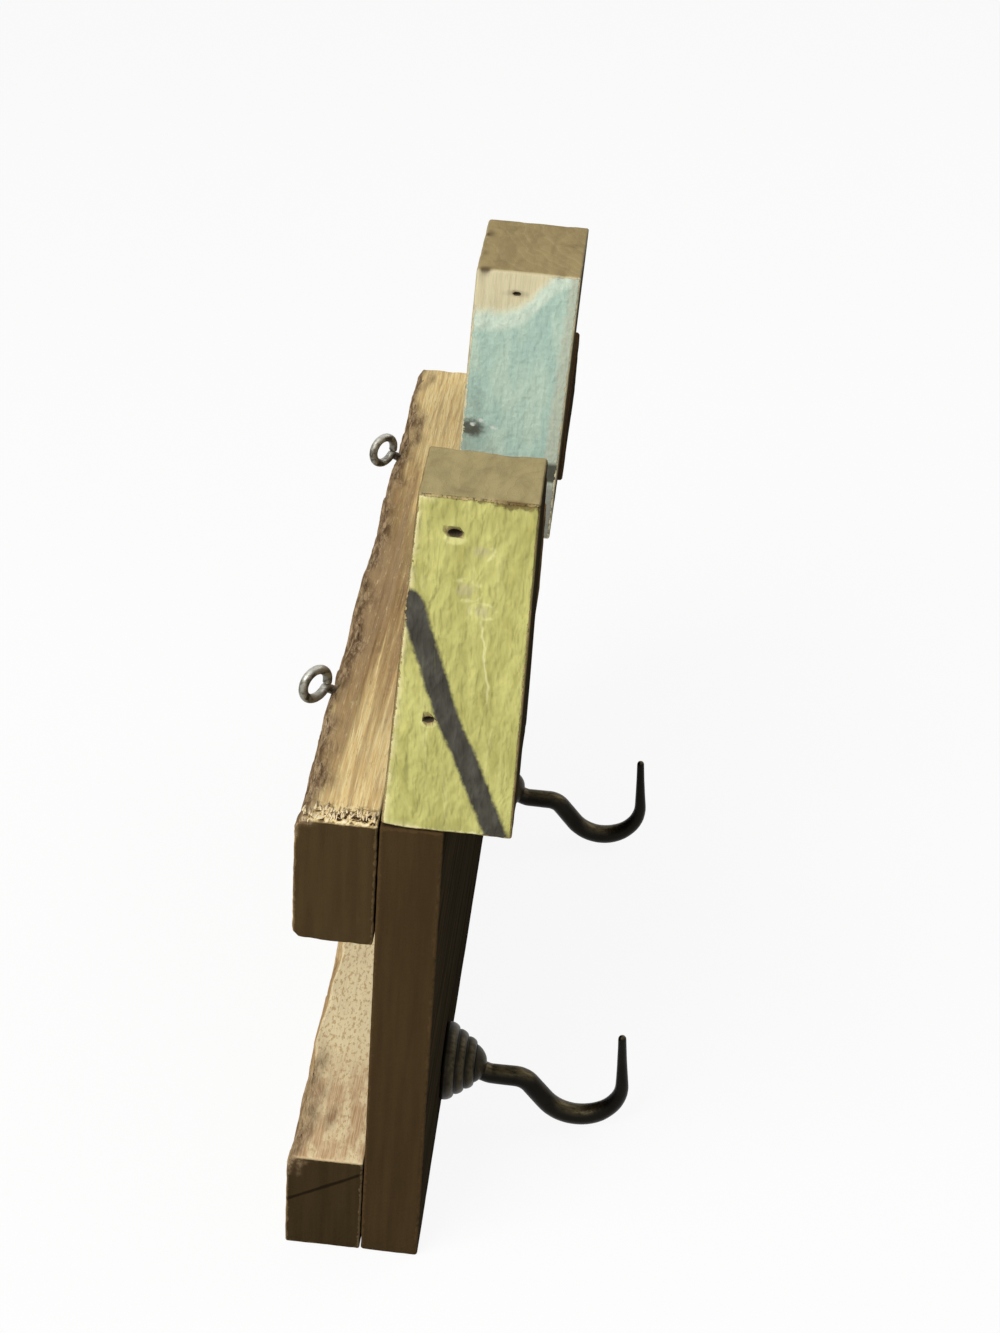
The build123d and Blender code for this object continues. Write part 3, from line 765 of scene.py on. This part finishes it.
def bore(piece, holes, material):  # crooked holes: mouth, direction, radius, squash, depth and flare of each
    cutter, ring, crook = bmesh.new(), boreShape["sides"], boreShape["crook"]
    for mouth, direction, radius, squash, depth, flare in holes:
        aim = Vector(direction).to_track_quat("Z", "Y").to_matrix().to_4x4()
        wide = radius + flare
        levels = (
            (-boreShape["above"], wide), (0.0, wide), (flare + boreShape["shoulder"], radius),
            (depth * 0.5, radius * boreShape["waist"]), (depth, radius * boreShape["tip"]),
        )
        rows = []
        for level, size in levels:
            row = []
            for step in range(ring):
                turn = 2 * math.pi * step / ring
                spot = Vector((math.cos(turn) * size, math.sin(turn) * size, level))
                spot.xy *= 1 + crook * flare * noise.noise(spot * boreShape["wave"] + Vector(mouth))
                spot.y *= squash
                row.append(cutter.verts.new((Matrix.Translation(mouth) @ aim @ spot) * mm))
            rows.append(row)
        for lower, upper in zip(rows, rows[1:]):
            for step in range(ring):
                after = (step + 1) % ring
                cutter.faces.new((lower[step], lower[after], upper[after], upper[step]))
        cutter.faces.new(rows[0][::-1])
        cutter.faces.new(rows[-1])
    bmesh.ops.recalc_face_normals(cutter, faces=cutter.faces)
    mesh = bpy.data.meshes.new("holeCutter")
    cutter.to_mesh(mesh)
    cutter.free()
    mesh.materials.append(material)
    tool = bpy.data.objects.new("holeCutter", mesh)
    scene.collection.objects.link(tool)
    cut = piece.modifiers.new("holes", "BOOLEAN")
    cut.object, cut.operation, cut.solver, cut.material_mode = tool, "DIFFERENCE", "EXACT", "TRANSFER"
    bakeModifiers(piece)
    bpy.data.objects.remove(tool)


def bakeModifiers(piece):  # what the modifiers make becomes the piece's own mesh
    bpy.context.view_layer.update()
    ready = piece.evaluated_get(bpy.context.evaluated_depsgraph_get())
    mesh = bpy.data.meshes.new_from_object(ready)
    piece.modifiers.clear()
    piece.data = mesh


everySide = dict.fromkeys(faceNames, 1.0)
battenStain = {"left": 1.0, "right": 1.0, "front": 1.0, "bottom": 0.5}
timbers = [  # lean: the front's and the back's, at foot and top; chips: place, reach each way and depth
    {
        "name": "hookBoard", "node": "hook_board", "slot": "board_wood", "grain": "x", "seed": 11.3,
        "edge": 1.0, "ragged": 0.35, "relief": 0.16, "stain": {**everySide, "back": 0.85},
    },
    {
        "name": "upperBatten", "node": "upper_batten", "slot": "upper_batten_wood", "grain": "x", "seed": 23.1,
        "edge": 1.3, "ragged": 0.7, "relief": 0.4, "stain": battenStain,
        "wane": {"mean": 3.0, "drop": 5.0, "swing": 1.3, "wave": 74.0, "fade": 1.7},
        "chips": (
            ((-152.5, -4.0, 22.5), (2, 3, 2), 1.6),
            ((-152.5, -14.0, 22.5), (2, 2.4, 2), 1.2),
            ((-152.5, 0.0, -22.5), (4, 3, 3), 1.6),
        ),
    },
    {
        "name": "lowerBatten", "node": "lower_batten", "slot": "lower_batten_wood", "grain": "x", "seed": 37.9,
        "edge": 1.0, "ragged": 0.5, "relief": 0.3, "stain": battenStain,
        "wane": {"mean": 2.6, "drop": 5.0, "swing": 1.3, "wave": 74.0, "fade": 2.6},
    },
    {
        "name": "greenBlock", "node": "green_block", "slot": "green_paint", "grain": "z", "seed": 41.7,
        "edge": 1.1, "ragged": 0.5, "relief": 0.34,
        "stain": {"front": 1.0, "right": 0.9, "back": 0.5, "bottom": 0.6}, "paint": {"left": 1.0},
        "lean": ((0.4, 0.0), (0.0, 5.9)),
        "chips": (
            ((-152.5, -56.0, 132.5), (3, 8, 3), 1.5),
            ((-124.5, -51.5, 132.5), (3, 4.5, 3), 1.8),
            ((-152.5, -27.0, 22.5), (2.5, 3, 2.5), 1.0),
        ),
    },
    {
        "name": "brownBlock", "node": "brown_block", "slot": "brown_wood", "grain": "z", "seed": 53.3,
        "edge": 1.1, "ragged": 0.4, "relief": 0.25, "stain": {**everySide, "top": 0.55},
    },
    {
        "name": "lowBlock", "node": "low_block", "slot": "low_wood", "grain": "x", "seed": 61.9,
        "edge": 1.2, "ragged": 0.4, "relief": 0.3, "stain": {"front": 0.8, "left": 0.5},
    },
    {
        "name": "blueBlock", "node": "blue_block", "slot": "blue_paint", "grain": "z", "seed": 71.1,
        "edge": 1.2, "ragged": 0.5, "relief": 0.24,
        "stain": {"front": 0.95, "right": 0.9, "back": 0.4}, "paint": {"left": 1.0},
        "lean": ((3.2, 0.0), (0.0, 3.2)),
        "chips": (
            ((54.5, -30.0, 122.0), (3, 3, 3), 1.7),
            ((37.6, -30.0, 122.0), (3, 3, 3), 1.5),
            ((23.5, -30.0, 122.0), (2.5, 2.5, 3), 1.6),
        ),
    },
    {
        "name": "endBlock", "node": "end_block", "slot": "end_wood", "grain": "x", "seed": 83.7,
        "edge": 1.2, "ragged": 0.4, "relief": 0.25, "stain": everySide,
    },
]
pieces = {}
for spec in timbers:
    piece = timber(spec)
    pieces[spec["name"]] = piece
    spec["piece"] = piece
    print("timber", spec["name"], len(piece.data.polygons), "quads")

nailHoles = {  # mouth, direction, radius, depth, flare of each, in millimetres
    "greenBlock": (
        ((-152.5, -41.7, 121.5), (1, 0, 0), 1.9, 0.6, 5.0, 0.3),
        ((-152.5, -37.5, 61.3), (1, 0, 0), 1.5, 0.65, 5.0, 0.3),
    ),
    "blueBlock": (((23.5, -44.0, 114.0), (1, 0, 0.05), 1.2, 0.5, 6.0, 0.3),),
}
for name, holes in nailHoles.items():
    bore(pieces[name], holes, materials["holeWall"])
outer, apart = 122.5, 245 / 3  # rack's middle to the last screw, and screw to screw
screwSpots = {
    batten: [(x, 0.0, level) for x in (-outer, -outer + apart, outer - apart, outer)]
    for batten, level in (("upperBatten", 0.0), ("lowerBatten", -131.0))
}
for batten, spots in screwSpots.items():
    holes = [(spot, (0, -1, 0), 3.4, 1.0, 3.4, 0.7) for spot in spots]
    bore(pieces[batten], holes, materials["holeWall"])
for spec in timbers:
    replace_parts(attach(spec["piece"], "root"), spec["node"])
print("timber placed and bored")


# Geometry Nodes: a tree grown on a base mesh and turned into a plain piece
def newTree(name, **inputs):
    inputs = {"Geometry": "geometry", **inputs, "Material": "material"}
    return newGroup(name, inputs, {"Geometry": "geometry"}, "GeometryNodeTree")


def closeTree(geometry, given, gives):  # every tree ends in real geometry with its material
    real = put("GeometryNodeRealizeInstances", {"Geometry": geometry}).outputs[0]
    smooth = put("GeometryNodeSetShadeSmooth", {"Geometry": real}).outputs[0]
    feed = {"Geometry": smooth, "Material": given["Material"]}
    plug(put("GeometryNodeSetMaterial", feed).outputs[0], gives["Geometry"])


def bentBar(name, bar):  # a round bar along a line, rounded at the corners that the line's mesh names
    tree, given, gives = newTree(name, Thickness="value", Beat="value")
    line = put("GeometryNodeMeshToCurve", {"Mesh": given["Geometry"]}).outputs[0]
    bend = put("GeometryNodeInputNamedAttribute", {"Name": "bend"}, tree, data_type="FLOAT").outputs[0]
    feed = {"Curve": line, "Count": bar["fillet"], "Radius": bend}
    line = put("GeometryNodeFilletCurve", feed, mode="POLY").outputs[0]
    feed = {"Curve": line, "Length": bar["step"] * mm}
    line = put("GeometryNodeResampleCurve", feed, mode="LENGTH").outputs[0]
    factor = put("GeometryNodeSplineParameter", tree=tree).outputs["Factor"]
    thick = times(curveValue(factor, bar["thickness"]), given["Thickness"])
    ring = put("GeometryNodeCurvePrimitiveCircle", {"Resolution": bar["sides"], "Radius": 1.0}, tree).outputs[0]
    feed = {"Curve": line, "Profile Curve": ring, "Scale": thick, "Fill Caps": True}
    swept = put("GeometryNodeCurveToMesh", feed).outputs[0]
    facing = put("GeometryNodeInputNormal", tree=tree).outputs[0]
    spot = put("GeometryNodeInputPosition", tree=tree).outputs[0]
    uneven = put("ShaderNodeTexNoise", {"Vector": spot, "Scale": 220.0, "Detail": 1.0}).outputs["Fac"]
    lift = scaled(facing, times(minus(uneven, 0.5), given["Beat"]))
    swept = put("GeometryNodeSetPosition", {"Geometry": swept, "Offset": lift}).outputs[0]
    # painted highlight: the upward-facing side of the bar is marked to take the lighter worn colour
    feed = {"Geometry": swept, "Name": "rubAndSheen", "Value": spread(axesOf(facing)["Z"], *bar["rubbedAndSheen"])}
    rubbedAndSheen = put("GeometryNodeStoreNamedAttribute", feed, data_type="FLOAT", domain="POINT").outputs[0]
    closeTree(rubbedAndSheen, given, gives)
    return tree


def grow(name, base, tree, **values):
    piece = bpy.data.objects.new(name, base)
    scene.collection.objects.link(piece)
    modifier = piece.modifiers.new("grow", "NODES")
    modifier.node_group = tree
    for item in tree.interface.items_tree:
        if item.in_out == "INPUT" and item.name in values:
            modifier[item.identifier] = values[item.name]
    bakeModifiers(piece)
    return piece


def lineMesh(name, points, bends):  # an open line through points, with the radius of each bend, in millimetres
    mesh = bpy.data.meshes.new(name)
    mesh.from_pydata([Vector(point) * mm for point in points], [(i, i + 1) for i in range(len(points) - 1)], [])
    mesh.attributes.new("bend", "FLOAT", "POINT").data.foreach_set("value", [bend * mm for bend in bends])
    return mesh


# Hooks: a drawn and bent arm, fullest in the bowl
hookArm = {
    "corners": (  # out and up from the nose's base
        (1.3, -2.4), (5.0, -3.8), (17.3, -3.8), (29.5, -18.3), (52.6, -18.3), (49.2, 19.7),
    ),
    "bends": (0.0, 6.0, 7.0, 14.8, 14.8, 0.0),
    "fillet": 14,
    "step": 0.45,
    "sides": 28,
    "fullest": 3.7,
    "thickness": (
        (0.0, 0.92), (0.1, 0.95), (0.3, 0.97), (0.48, 1.0), (0.62, 0.83), (0.75, 0.6),
        (0.86, 0.47), (0.95, 0.4), (0.984, 0.38), (0.993, 0.31), (0.998, 0.2), (1.0, 0.06),
    ),
    # normal heights over which the upper side takes the painted highlight
    "rubbedAndSheen": (0.45, 0.95),
    "inset": 82.5,  # rack's middle to a hook
    "level": 23.0,  # board's foot to a rosette's axis
    "start": 55.1,  # wall plane to the nose's base
    "beat": 0.09,  # unevenness of the drawn bar
}

# Rosettes: a turned beehive of rounded steps on a flat foot
rosetteShape = {
    "outer": 13.5, "top": 6.9, "height": 11.0, "foot": 1.2, "steps": 3, "gap": 0.1, "segments": 112,
    "roundness": 8,
}
noseShape = {"outer": 6.6, "base": 11.1, "rise": 4.0, "segments": 72, "roundness": 14}


def turned(name, profile, rubbedAndSheen, centre, segments, material):  # (radius, forward) spun to the front
    points, quads, count = [], [], len(profile)
    for step in range(segments):
        turn = 2 * math.pi * step / segments
        after = (step + 1) % segments
        for radius, forward in profile:
            points.append((centre + Vector((radius * math.cos(turn), -forward, radius * math.sin(turn)))) * mm)
        for row in range(count - 1):
            here, there = step * count + row, after * count + row
            quads.append((here, here + 1, there + 1, there))
    piece = makePiece(name, points, quads, {"rubAndSheen": rubbedAndSheen * segments}, material)
    welded = bmesh.new()
    welded.from_mesh(piece.data)
    bmesh.ops.remove_doubles(welded, verts=welded.verts, dist=0.01 * mm)
    bmesh.ops.recalc_face_normals(welded, faces=welded.faces)
    welded.to_mesh(piece.data)
    welded.free()
    return piece


def rosetteProfile():
    shape = rosetteShape
    outer, foot, gap = shape["outer"], shape["foot"], shape["gap"]
    rise, inward = (shape["height"] - foot) / shape["steps"], (outer - shape["top"]) / shape["steps"]
    profile, rubbedAndSheen = [(0.0, gap), (outer - 0.3, gap), (outer, 0.35), (outer, foot)], [0.0, 0.0, 0.1, 0.2]
    for step in range(shape["steps"]):
        radius, level = outer - step * inward, foot + step * rise
        for share in range(1, shape["roundness"] + 1):
            turn = math.pi / 2 * share / shape["roundness"]
            narrowed = radius - inward * (1 - math.cos(turn)) ** 0.9
            profile.append((narrowed, level + rise * math.sin(turn) ** 0.95))
            rubbedAndSheen.append(0.75 * math.sin(2 * turn) ** 2)
        if step < shape["steps"] - 1:
            profile.append((radius - inward - 0.12, level + rise - 0.3))
            rubbedAndSheen.append(0.0)
    return profile + [(0.0, shape["height"])], rubbedAndSheen + [0.2]


def noseProfile():  # a low dome that the arm springs from
    shape = noseShape
    ball = (shape["outer"] ** 2 + shape["rise"] ** 2) / (2 * shape["rise"])
    profile, rubbedAndSheen = [(0.0, shape["base"]), (shape["outer"] - 0.25, shape["base"])], [0.0, 0.0]
    for step in range(shape["roundness"] + 1):
        fall = shape["rise"] * (1 - (step / shape["roundness"]) ** 1.4)
        profile.append((math.sqrt(max(ball**2 - (ball - fall) ** 2, 0)), shape["base"] + shape["rise"] - fall))
        rubbedAndSheen.append(0.6 * step / shape["roundness"])
    return profile, rubbedAndSheen


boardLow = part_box("hook_board")[0] / mm
armTree = bentBar("drawnArm", hookArm)
for side, x in (("left", -hookArm["inset"]), ("right", hookArm["inset"])):
    axis = Vector((x, boardLow.y, boardLow.z + hookArm["level"]))
    corners = [(x, -hookArm["start"] - out, axis.z + rise) for out, rise in hookArm["corners"]]
    base = lineMesh(f"{side}ArmLine", corners, hookArm["bends"])
    fullest, beat = hookArm["fullest"] * mm, hookArm["beat"] * mm
    arm = grow(f"{side}HookArm", base, armTree, Thickness=fullest, Beat=beat, Material=materials["hook"])
    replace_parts(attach(arm, "root"), f"{side}_hook")
    rosette = turned(f"{side}Rosette", *rosetteProfile(), axis, rosetteShape["segments"], materials["hook"])
    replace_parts(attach(rosette, "root"), f"{side}_rosette")
    nose = turned(f"{side}HookNose", *noseProfile(), axis, noseShape["segments"], materials["hook"])
    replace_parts(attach(nose, "root"), f"{side}_hook")
    print(side, "hook", len(arm.data.polygons), "faces, rosette", len(rosette.data.polygons))

# Screw eyes: one bent wire, closed but for a hair, driven askew into the bark edge
eyeShape = {
    "wire": 1.5,
    "ring": 5.0,
    "shank": 13.5,
    "neck": 0.6,  # ring to the start of the shank
    "neckBend": 0.8,
    "turn": 40.0,
    "rise": 35.0,
    "gap": 16.0,
    "segments": 40,
    "fillet": 10,
    "step": 0.3,
    "sides": 20,
    "thickness": ((0.0, 0.75), (0.012, 1.0), (0.9, 1.0), (1.0, 0.1)),
    # normal heights over which the upper side takes the painted highlight
    "rubbedAndSheen": (0.2, 0.9),
}


def eyeLine(centre):  # round the ring and down the shank
    turn, rise, gap = (math.radians(eyeShape[name]) for name in ("turn", "rise", "gap"))
    along = Vector((-math.cos(turn) * math.cos(rise), math.sin(turn) * math.cos(rise), math.sin(rise)))
    across = along.cross(Vector((-math.sin(turn), -math.cos(turn), 0)))
    line = []
    for step in range(eyeShape["segments"] + 1):
        angle = gap + (2 * math.pi - gap) * step / eyeShape["segments"]
        line.append(centre + eyeShape["ring"] * (across * math.sin(angle) - along * math.cos(angle)))
    reaches = (eyeShape["neck"], eyeShape["shank"])
    return line + [centre - along * (eyeShape["ring"] + reach) for reach in reaches]


eyeTree = bentBar("bentWire", eyeShape)
for side in ("left", "right"):
    low, high = (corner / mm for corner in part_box(f"{side}_screw_eye"))
    turn, ring, wire = math.radians(eyeShape["turn"]), eyeShape["ring"], eyeShape["wire"]
    wide, deep = ring * math.cos(turn) + wire, ring * math.sin(turn) + wire
    line = eyeLine(Vector((low.x + wide, high.y - deep, high.z - ring - wire)))
    base = lineMesh(f"{side}EyeLine", line, [0.0] * (len(line) - 2) + [eyeShape["neckBend"], 0.0])
    eye = grow(f"{side}ScrewEye", base, eyeTree, Thickness=wire * mm, Beat=0.0, Material=materials["eye"])
    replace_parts(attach(eye, "root"), f"{side}_screw_eye")
print("screw eyes bent")

# Batten screws: one countersunk slotted screw set at every spot, each turned its own way
screwShape = {
    "head": 4.0, "shank": 2.0, "tip": 0.4, "headRise": 2.6, "stem": 34.0, "sink": 0.4,
    "slot": 1.2, "slotDepth": 0.9, "slotLength": 12.0, "seed": 4,
}


def moved(geometry, **feed):
    return put("GeometryNodeTransform", {"Geometry": geometry, **feed}).outputs[0]


def cone(sides, top, bottom, depth):
    feed = {"Vertices": sides, "Radius Top": top, "Radius Bottom": bottom, "Depth": depth}
    return put("GeometryNodeMeshCone", feed).outputs["Mesh"]


tree, given, gives = newTree("settingScrews", Head="value", Shank="value", Seed="whole")
rise, stem = screwShape["headRise"] * mm, screwShape["stem"] * mm
head = cone(40, given["Head"], given["Shank"], rise)
slotSize = (screwShape["slotLength"] * mm, screwShape["slot"] * mm, 2 * screwShape["slotDepth"] * mm)
slotCut = moved(put("GeometryNodeMeshCube", {"Size": slotSize}, tree).outputs["Mesh"], Translation=(0, 0, rise))
feed = {"Mesh 1": head, "Mesh 2": slotCut}
head = put("GeometryNodeMeshBoolean", feed, operation="DIFFERENCE", solver="EXACT").outputs["Mesh"]
shank = moved(cone(24, given["Shank"], screwShape["tip"] * mm, stem), Translation=(0, 0, -stem))
whole = put("GeometryNodeJoinGeometry", tree=tree)
for shape in (head, shank):
    plug(shape, whole.inputs[0])
laid = moved(whole.outputs[0], Rotation=(-math.pi / 2, 0, 0))
feed = {"Min": (0, 0, 0), "Max": (0, 6.28, 0), "Seed": given["Seed"]}
twist = put("FunctionNodeRandomValue", feed, data_type="FLOAT_VECTOR").outputs[0]
feed = {"Points": given["Geometry"], "Instance": laid, "Rotation": twist}
closeTree(put("GeometryNodeInstanceOnPoints", feed).outputs[0], given, gives)
for batten, spots in screwSpots.items():
    node = "upper_batten_screws" if batten == "upperBatten" else "lower_batten_screws"
    base = bpy.data.meshes.new(f"{batten}ScrewSpots")
    depth = -screwShape["sink"] - screwShape["headRise"]
    base.from_pydata([Vector((x, depth, z)) * mm for x, y, z in spots], [], [])
    head, shank, seed = screwShape["head"] * mm, screwShape["shank"] * mm, screwShape["seed"]
    screws = grow(f"{batten}Screws", base, tree, Head=head, Shank=shank, Seed=seed, Material=materials["screw"])
    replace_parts(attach(screws, "root"), node)
print("screws set")

# Splinters and loose bark, scattered on thin strips of ground
tree, given, gives = newTree(
    "scatterSlivers", Density="value", Length="value", Width="value", Sway="value", Seed="whole"
)
sliverShape = {"turn": 1.5, "least": 0.45, "most": 1.5, "flatness": 0.6}
sliver = put("GeometryNodeMeshIcoSphere", {"Radius": 1.0, "Subdivisions": 1}, tree).outputs["Mesh"]
feed = {"Mesh": given["Geometry"], "Density": given["Density"], "Seed": given["Seed"]}
spots = put("GeometryNodeDistributePointsOnFaces", feed).outputs["Points"]
back = times(given["Sway"], -1.0)
least = joined(-sliverShape["turn"], back, back)
most = joined(sliverShape["turn"], given["Sway"], given["Sway"])
feed = {"Min": least, "Max": most, "Seed": given["Seed"]}
turn = put("FunctionNodeRandomValue", feed, data_type="FLOAT_VECTOR").outputs[0]
feed = {2: sliverShape["least"], 3: sliverShape["most"], "Seed": plus(given["Seed"], 5.0)}
grown = put("FunctionNodeRandomValue", feed, data_type="FLOAT").outputs[1]
shape = joined(times(given["Length"], grown), given["Width"], times(given["Width"], sliverShape["flatness"]))
feed = {"Points": spots, "Instance": sliver, "Rotation": turn, "Scale": shape}
closeTree(put("GeometryNodeInstanceOnPoints", feed).outputs[0], given, gives)


def groundStrip(name, rows):  # quads between pairs of points, in millimetres
    mesh = bpy.data.meshes.new(name)
    quads = [(2 * i, 2 * i + 2, 2 * i + 3, 2 * i + 1) for i in range(len(rows) - 1)]
    mesh.from_pydata([Vector(point) * mm for row in rows for point in row], [], quads)
    return mesh


def tornRows(near, far, cuts=24):  # along the torn end: the two ends of each side
    sides = [[Vector(point) for point in side] for side in (near, far)]
    return [[start.lerp(end, i / cuts) for start, end in sides] for i in range(cuts + 1)]


def barkRows(node, wane, start, end, cuts=60):  # under the loose bark, along the waney corner
    high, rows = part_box(node)[1] / mm, []
    for i in range(cuts + 1):
        x = start + (end - start) * i / cuts
        width = float(waneWidth(x, wane))
        drop = width * wane["drop"] / wane["mean"]
        rows.append(((x, high.y - width - 0.4, high.z - 0.7), (x, high.y - 1.4, high.z - drop - 0.4)))
    return rows


tornGround = tornRows(
    ((-149.6, -1.8, 22.0), (-149.6, -24.0, 22.2)), ((-145.8, -1.8, 22.1), (-145.8, -24.0, 22.2))
)
scatter = [  # name, slot, ground, material, density, length, width, sway, seed
    ("tornFibres", "upper_batten_wood", tornGround, "splinter", 5.0e5, 2.3, 0.45, 0.35, 3),
    ("upperBark", "upper_batten_wood", barkRows("upper_batten", timbers[1]["wane"], -150.0, 150.0),
     "bark", 3.2e5, 2.4, 0.6, 0.3, 8),
    ("lowerBark", "lower_batten_wood", barkRows("lower_batten", timbers[2]["wane"], -150.0, -96.0),
     "bark", 3.0e5, 2.4, 0.55, 0.3, 12),
]
for name, slot, rows, part, density, length, width, sway, seed in scatter:
    piece = grow(
        name, groundStrip(f"{name}Ground", rows), tree, Density=density, Length=length * mm, Width=width * mm,
        Sway=sway, Seed=seed, Material=materials[part],
    )
    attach(piece, "root")
    print(name, len(piece.data.polygons), "faces")

for block in ("green", "brown", "low", "blue", "end"):
    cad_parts[f"{block}_block_dowels"].data.materials.clear()
    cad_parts[f"{block}_block_dowels"].data.materials.append(materials["dowel"])

# Floor, light and camera
stage = {
    "floor": (236, 236, 234), "roughness": 0.9, "gloss": 0.1, "size": 8.0, "shownShadow": 0.1, "world": 0.36,
    "aim": (0.0, -0.04, 0.0),
}
lights = {  # place, size and power
    "keyLight": ((-0.85, 0.6, 0.95), 0.9, 17.5),
    "fillLight": ((-1.2, -0.5, 0.4), 1.1, 2.4),
    "rimLight": ((0.7, -1.0, 0.9), 1.0, 4.5),
}


def seenRays(tree):  # 1 where the camera looks, straight or by a gloss, and 0 where the light only bounces
    seen = put("ShaderNodeLightPath", tree=tree).outputs
    return calc("MAXIMUM", seen["Is Camera Ray"], seen["Is Glossy Ray"])


half, level = stage["size"] / 2, cadBox[0][2]
floorMesh = bpy.data.meshes.new("floor")
corners = [(-half, -half, level), (half, -half, level), (half, half, level), (-half, half, level)]
floorMesh.from_pydata(corners, [], [(0, 1, 2, 3)])
floor = bpy.data.objects.new("floor", floorMesh)
scene.collection.objects.link(floor)
material, shader = newMaterial("paleFloor")[:2]
shader.inputs["Base Color"].default_value = colour(*stage["floor"])
shader.inputs["Roughness"].default_value = stage["roughness"]
shader.inputs["Specular IOR Level"].default_value = stage["gloss"]
tree = material.node_tree
glow = put("ShaderNodeEmission", {"Color": (1, 1, 1, 1), "Strength": 1.0}, tree).outputs[0]
shown = times(seenRays(tree), 1 - stage["shownShadow"])
mixed = put("ShaderNodeMixShader", {0: shown, 1: shader.outputs[0], 2: glow}).outputs[0]
plug(mixed, tree.nodes["Material Output"].inputs["Surface"])
floorMesh.materials.append(material)

world = bpy.data.worlds.new("studio")
scene.world = world
world.use_nodes = True
background = world.node_tree.nodes["Background"]
background.inputs["Color"].default_value = (1, 1, 1, 1)
plug(mixValue(seenRays(world.node_tree), stage["world"], 1.0), background.inputs["Strength"])

for name, (spot, size, power) in lights.items():
    lamp = bpy.data.lights.new(name, "AREA")
    lamp.shape, lamp.size, lamp.energy = "SQUARE", size, power
    light = bpy.data.objects.new(name, lamp)
    light.location = spot
    light.rotation_euler = (Vector(stage["aim"]) - Vector(spot)).to_track_quat("-Z", "Y").to_euler()
    scene.collection.objects.link(light)

view = {"place": (-0.6886, -0.0817, 0.4259), "heading": 2.72, "dip": 32.7, "roll": 4.4, "lens": 42.0}
heading, dip, roll = (math.radians(view[name]) for name in ("heading", "dip", "roll"))
forward = Vector((math.cos(dip) * math.cos(heading), math.cos(dip) * math.sin(heading), -math.sin(dip)))
sideways = forward.cross(Vector((0, 0, 1))).normalized()
upwards = sideways.cross(forward)
cameraX = math.cos(roll) * sideways + math.sin(roll) * upwards
cameraY = math.cos(roll) * upwards - math.sin(roll) * sideways
camera = bpy.data.objects.new("camera", bpy.data.cameras.new("camera"))
camera.data.sensor_fit, camera.data.sensor_height, camera.data.lens = "VERTICAL", 24.0, view["lens"]
facing = Matrix((cameraX, cameraY, -forward)).transposed().to_4x4()
camera.matrix_world = Matrix.Translation(view["place"]) @ facing
scene.collection.objects.link(camera)
scene.camera = camera
scene.view_settings.view_transform = "Standard"
print("studio set")

bpy.context.view_layer.update()
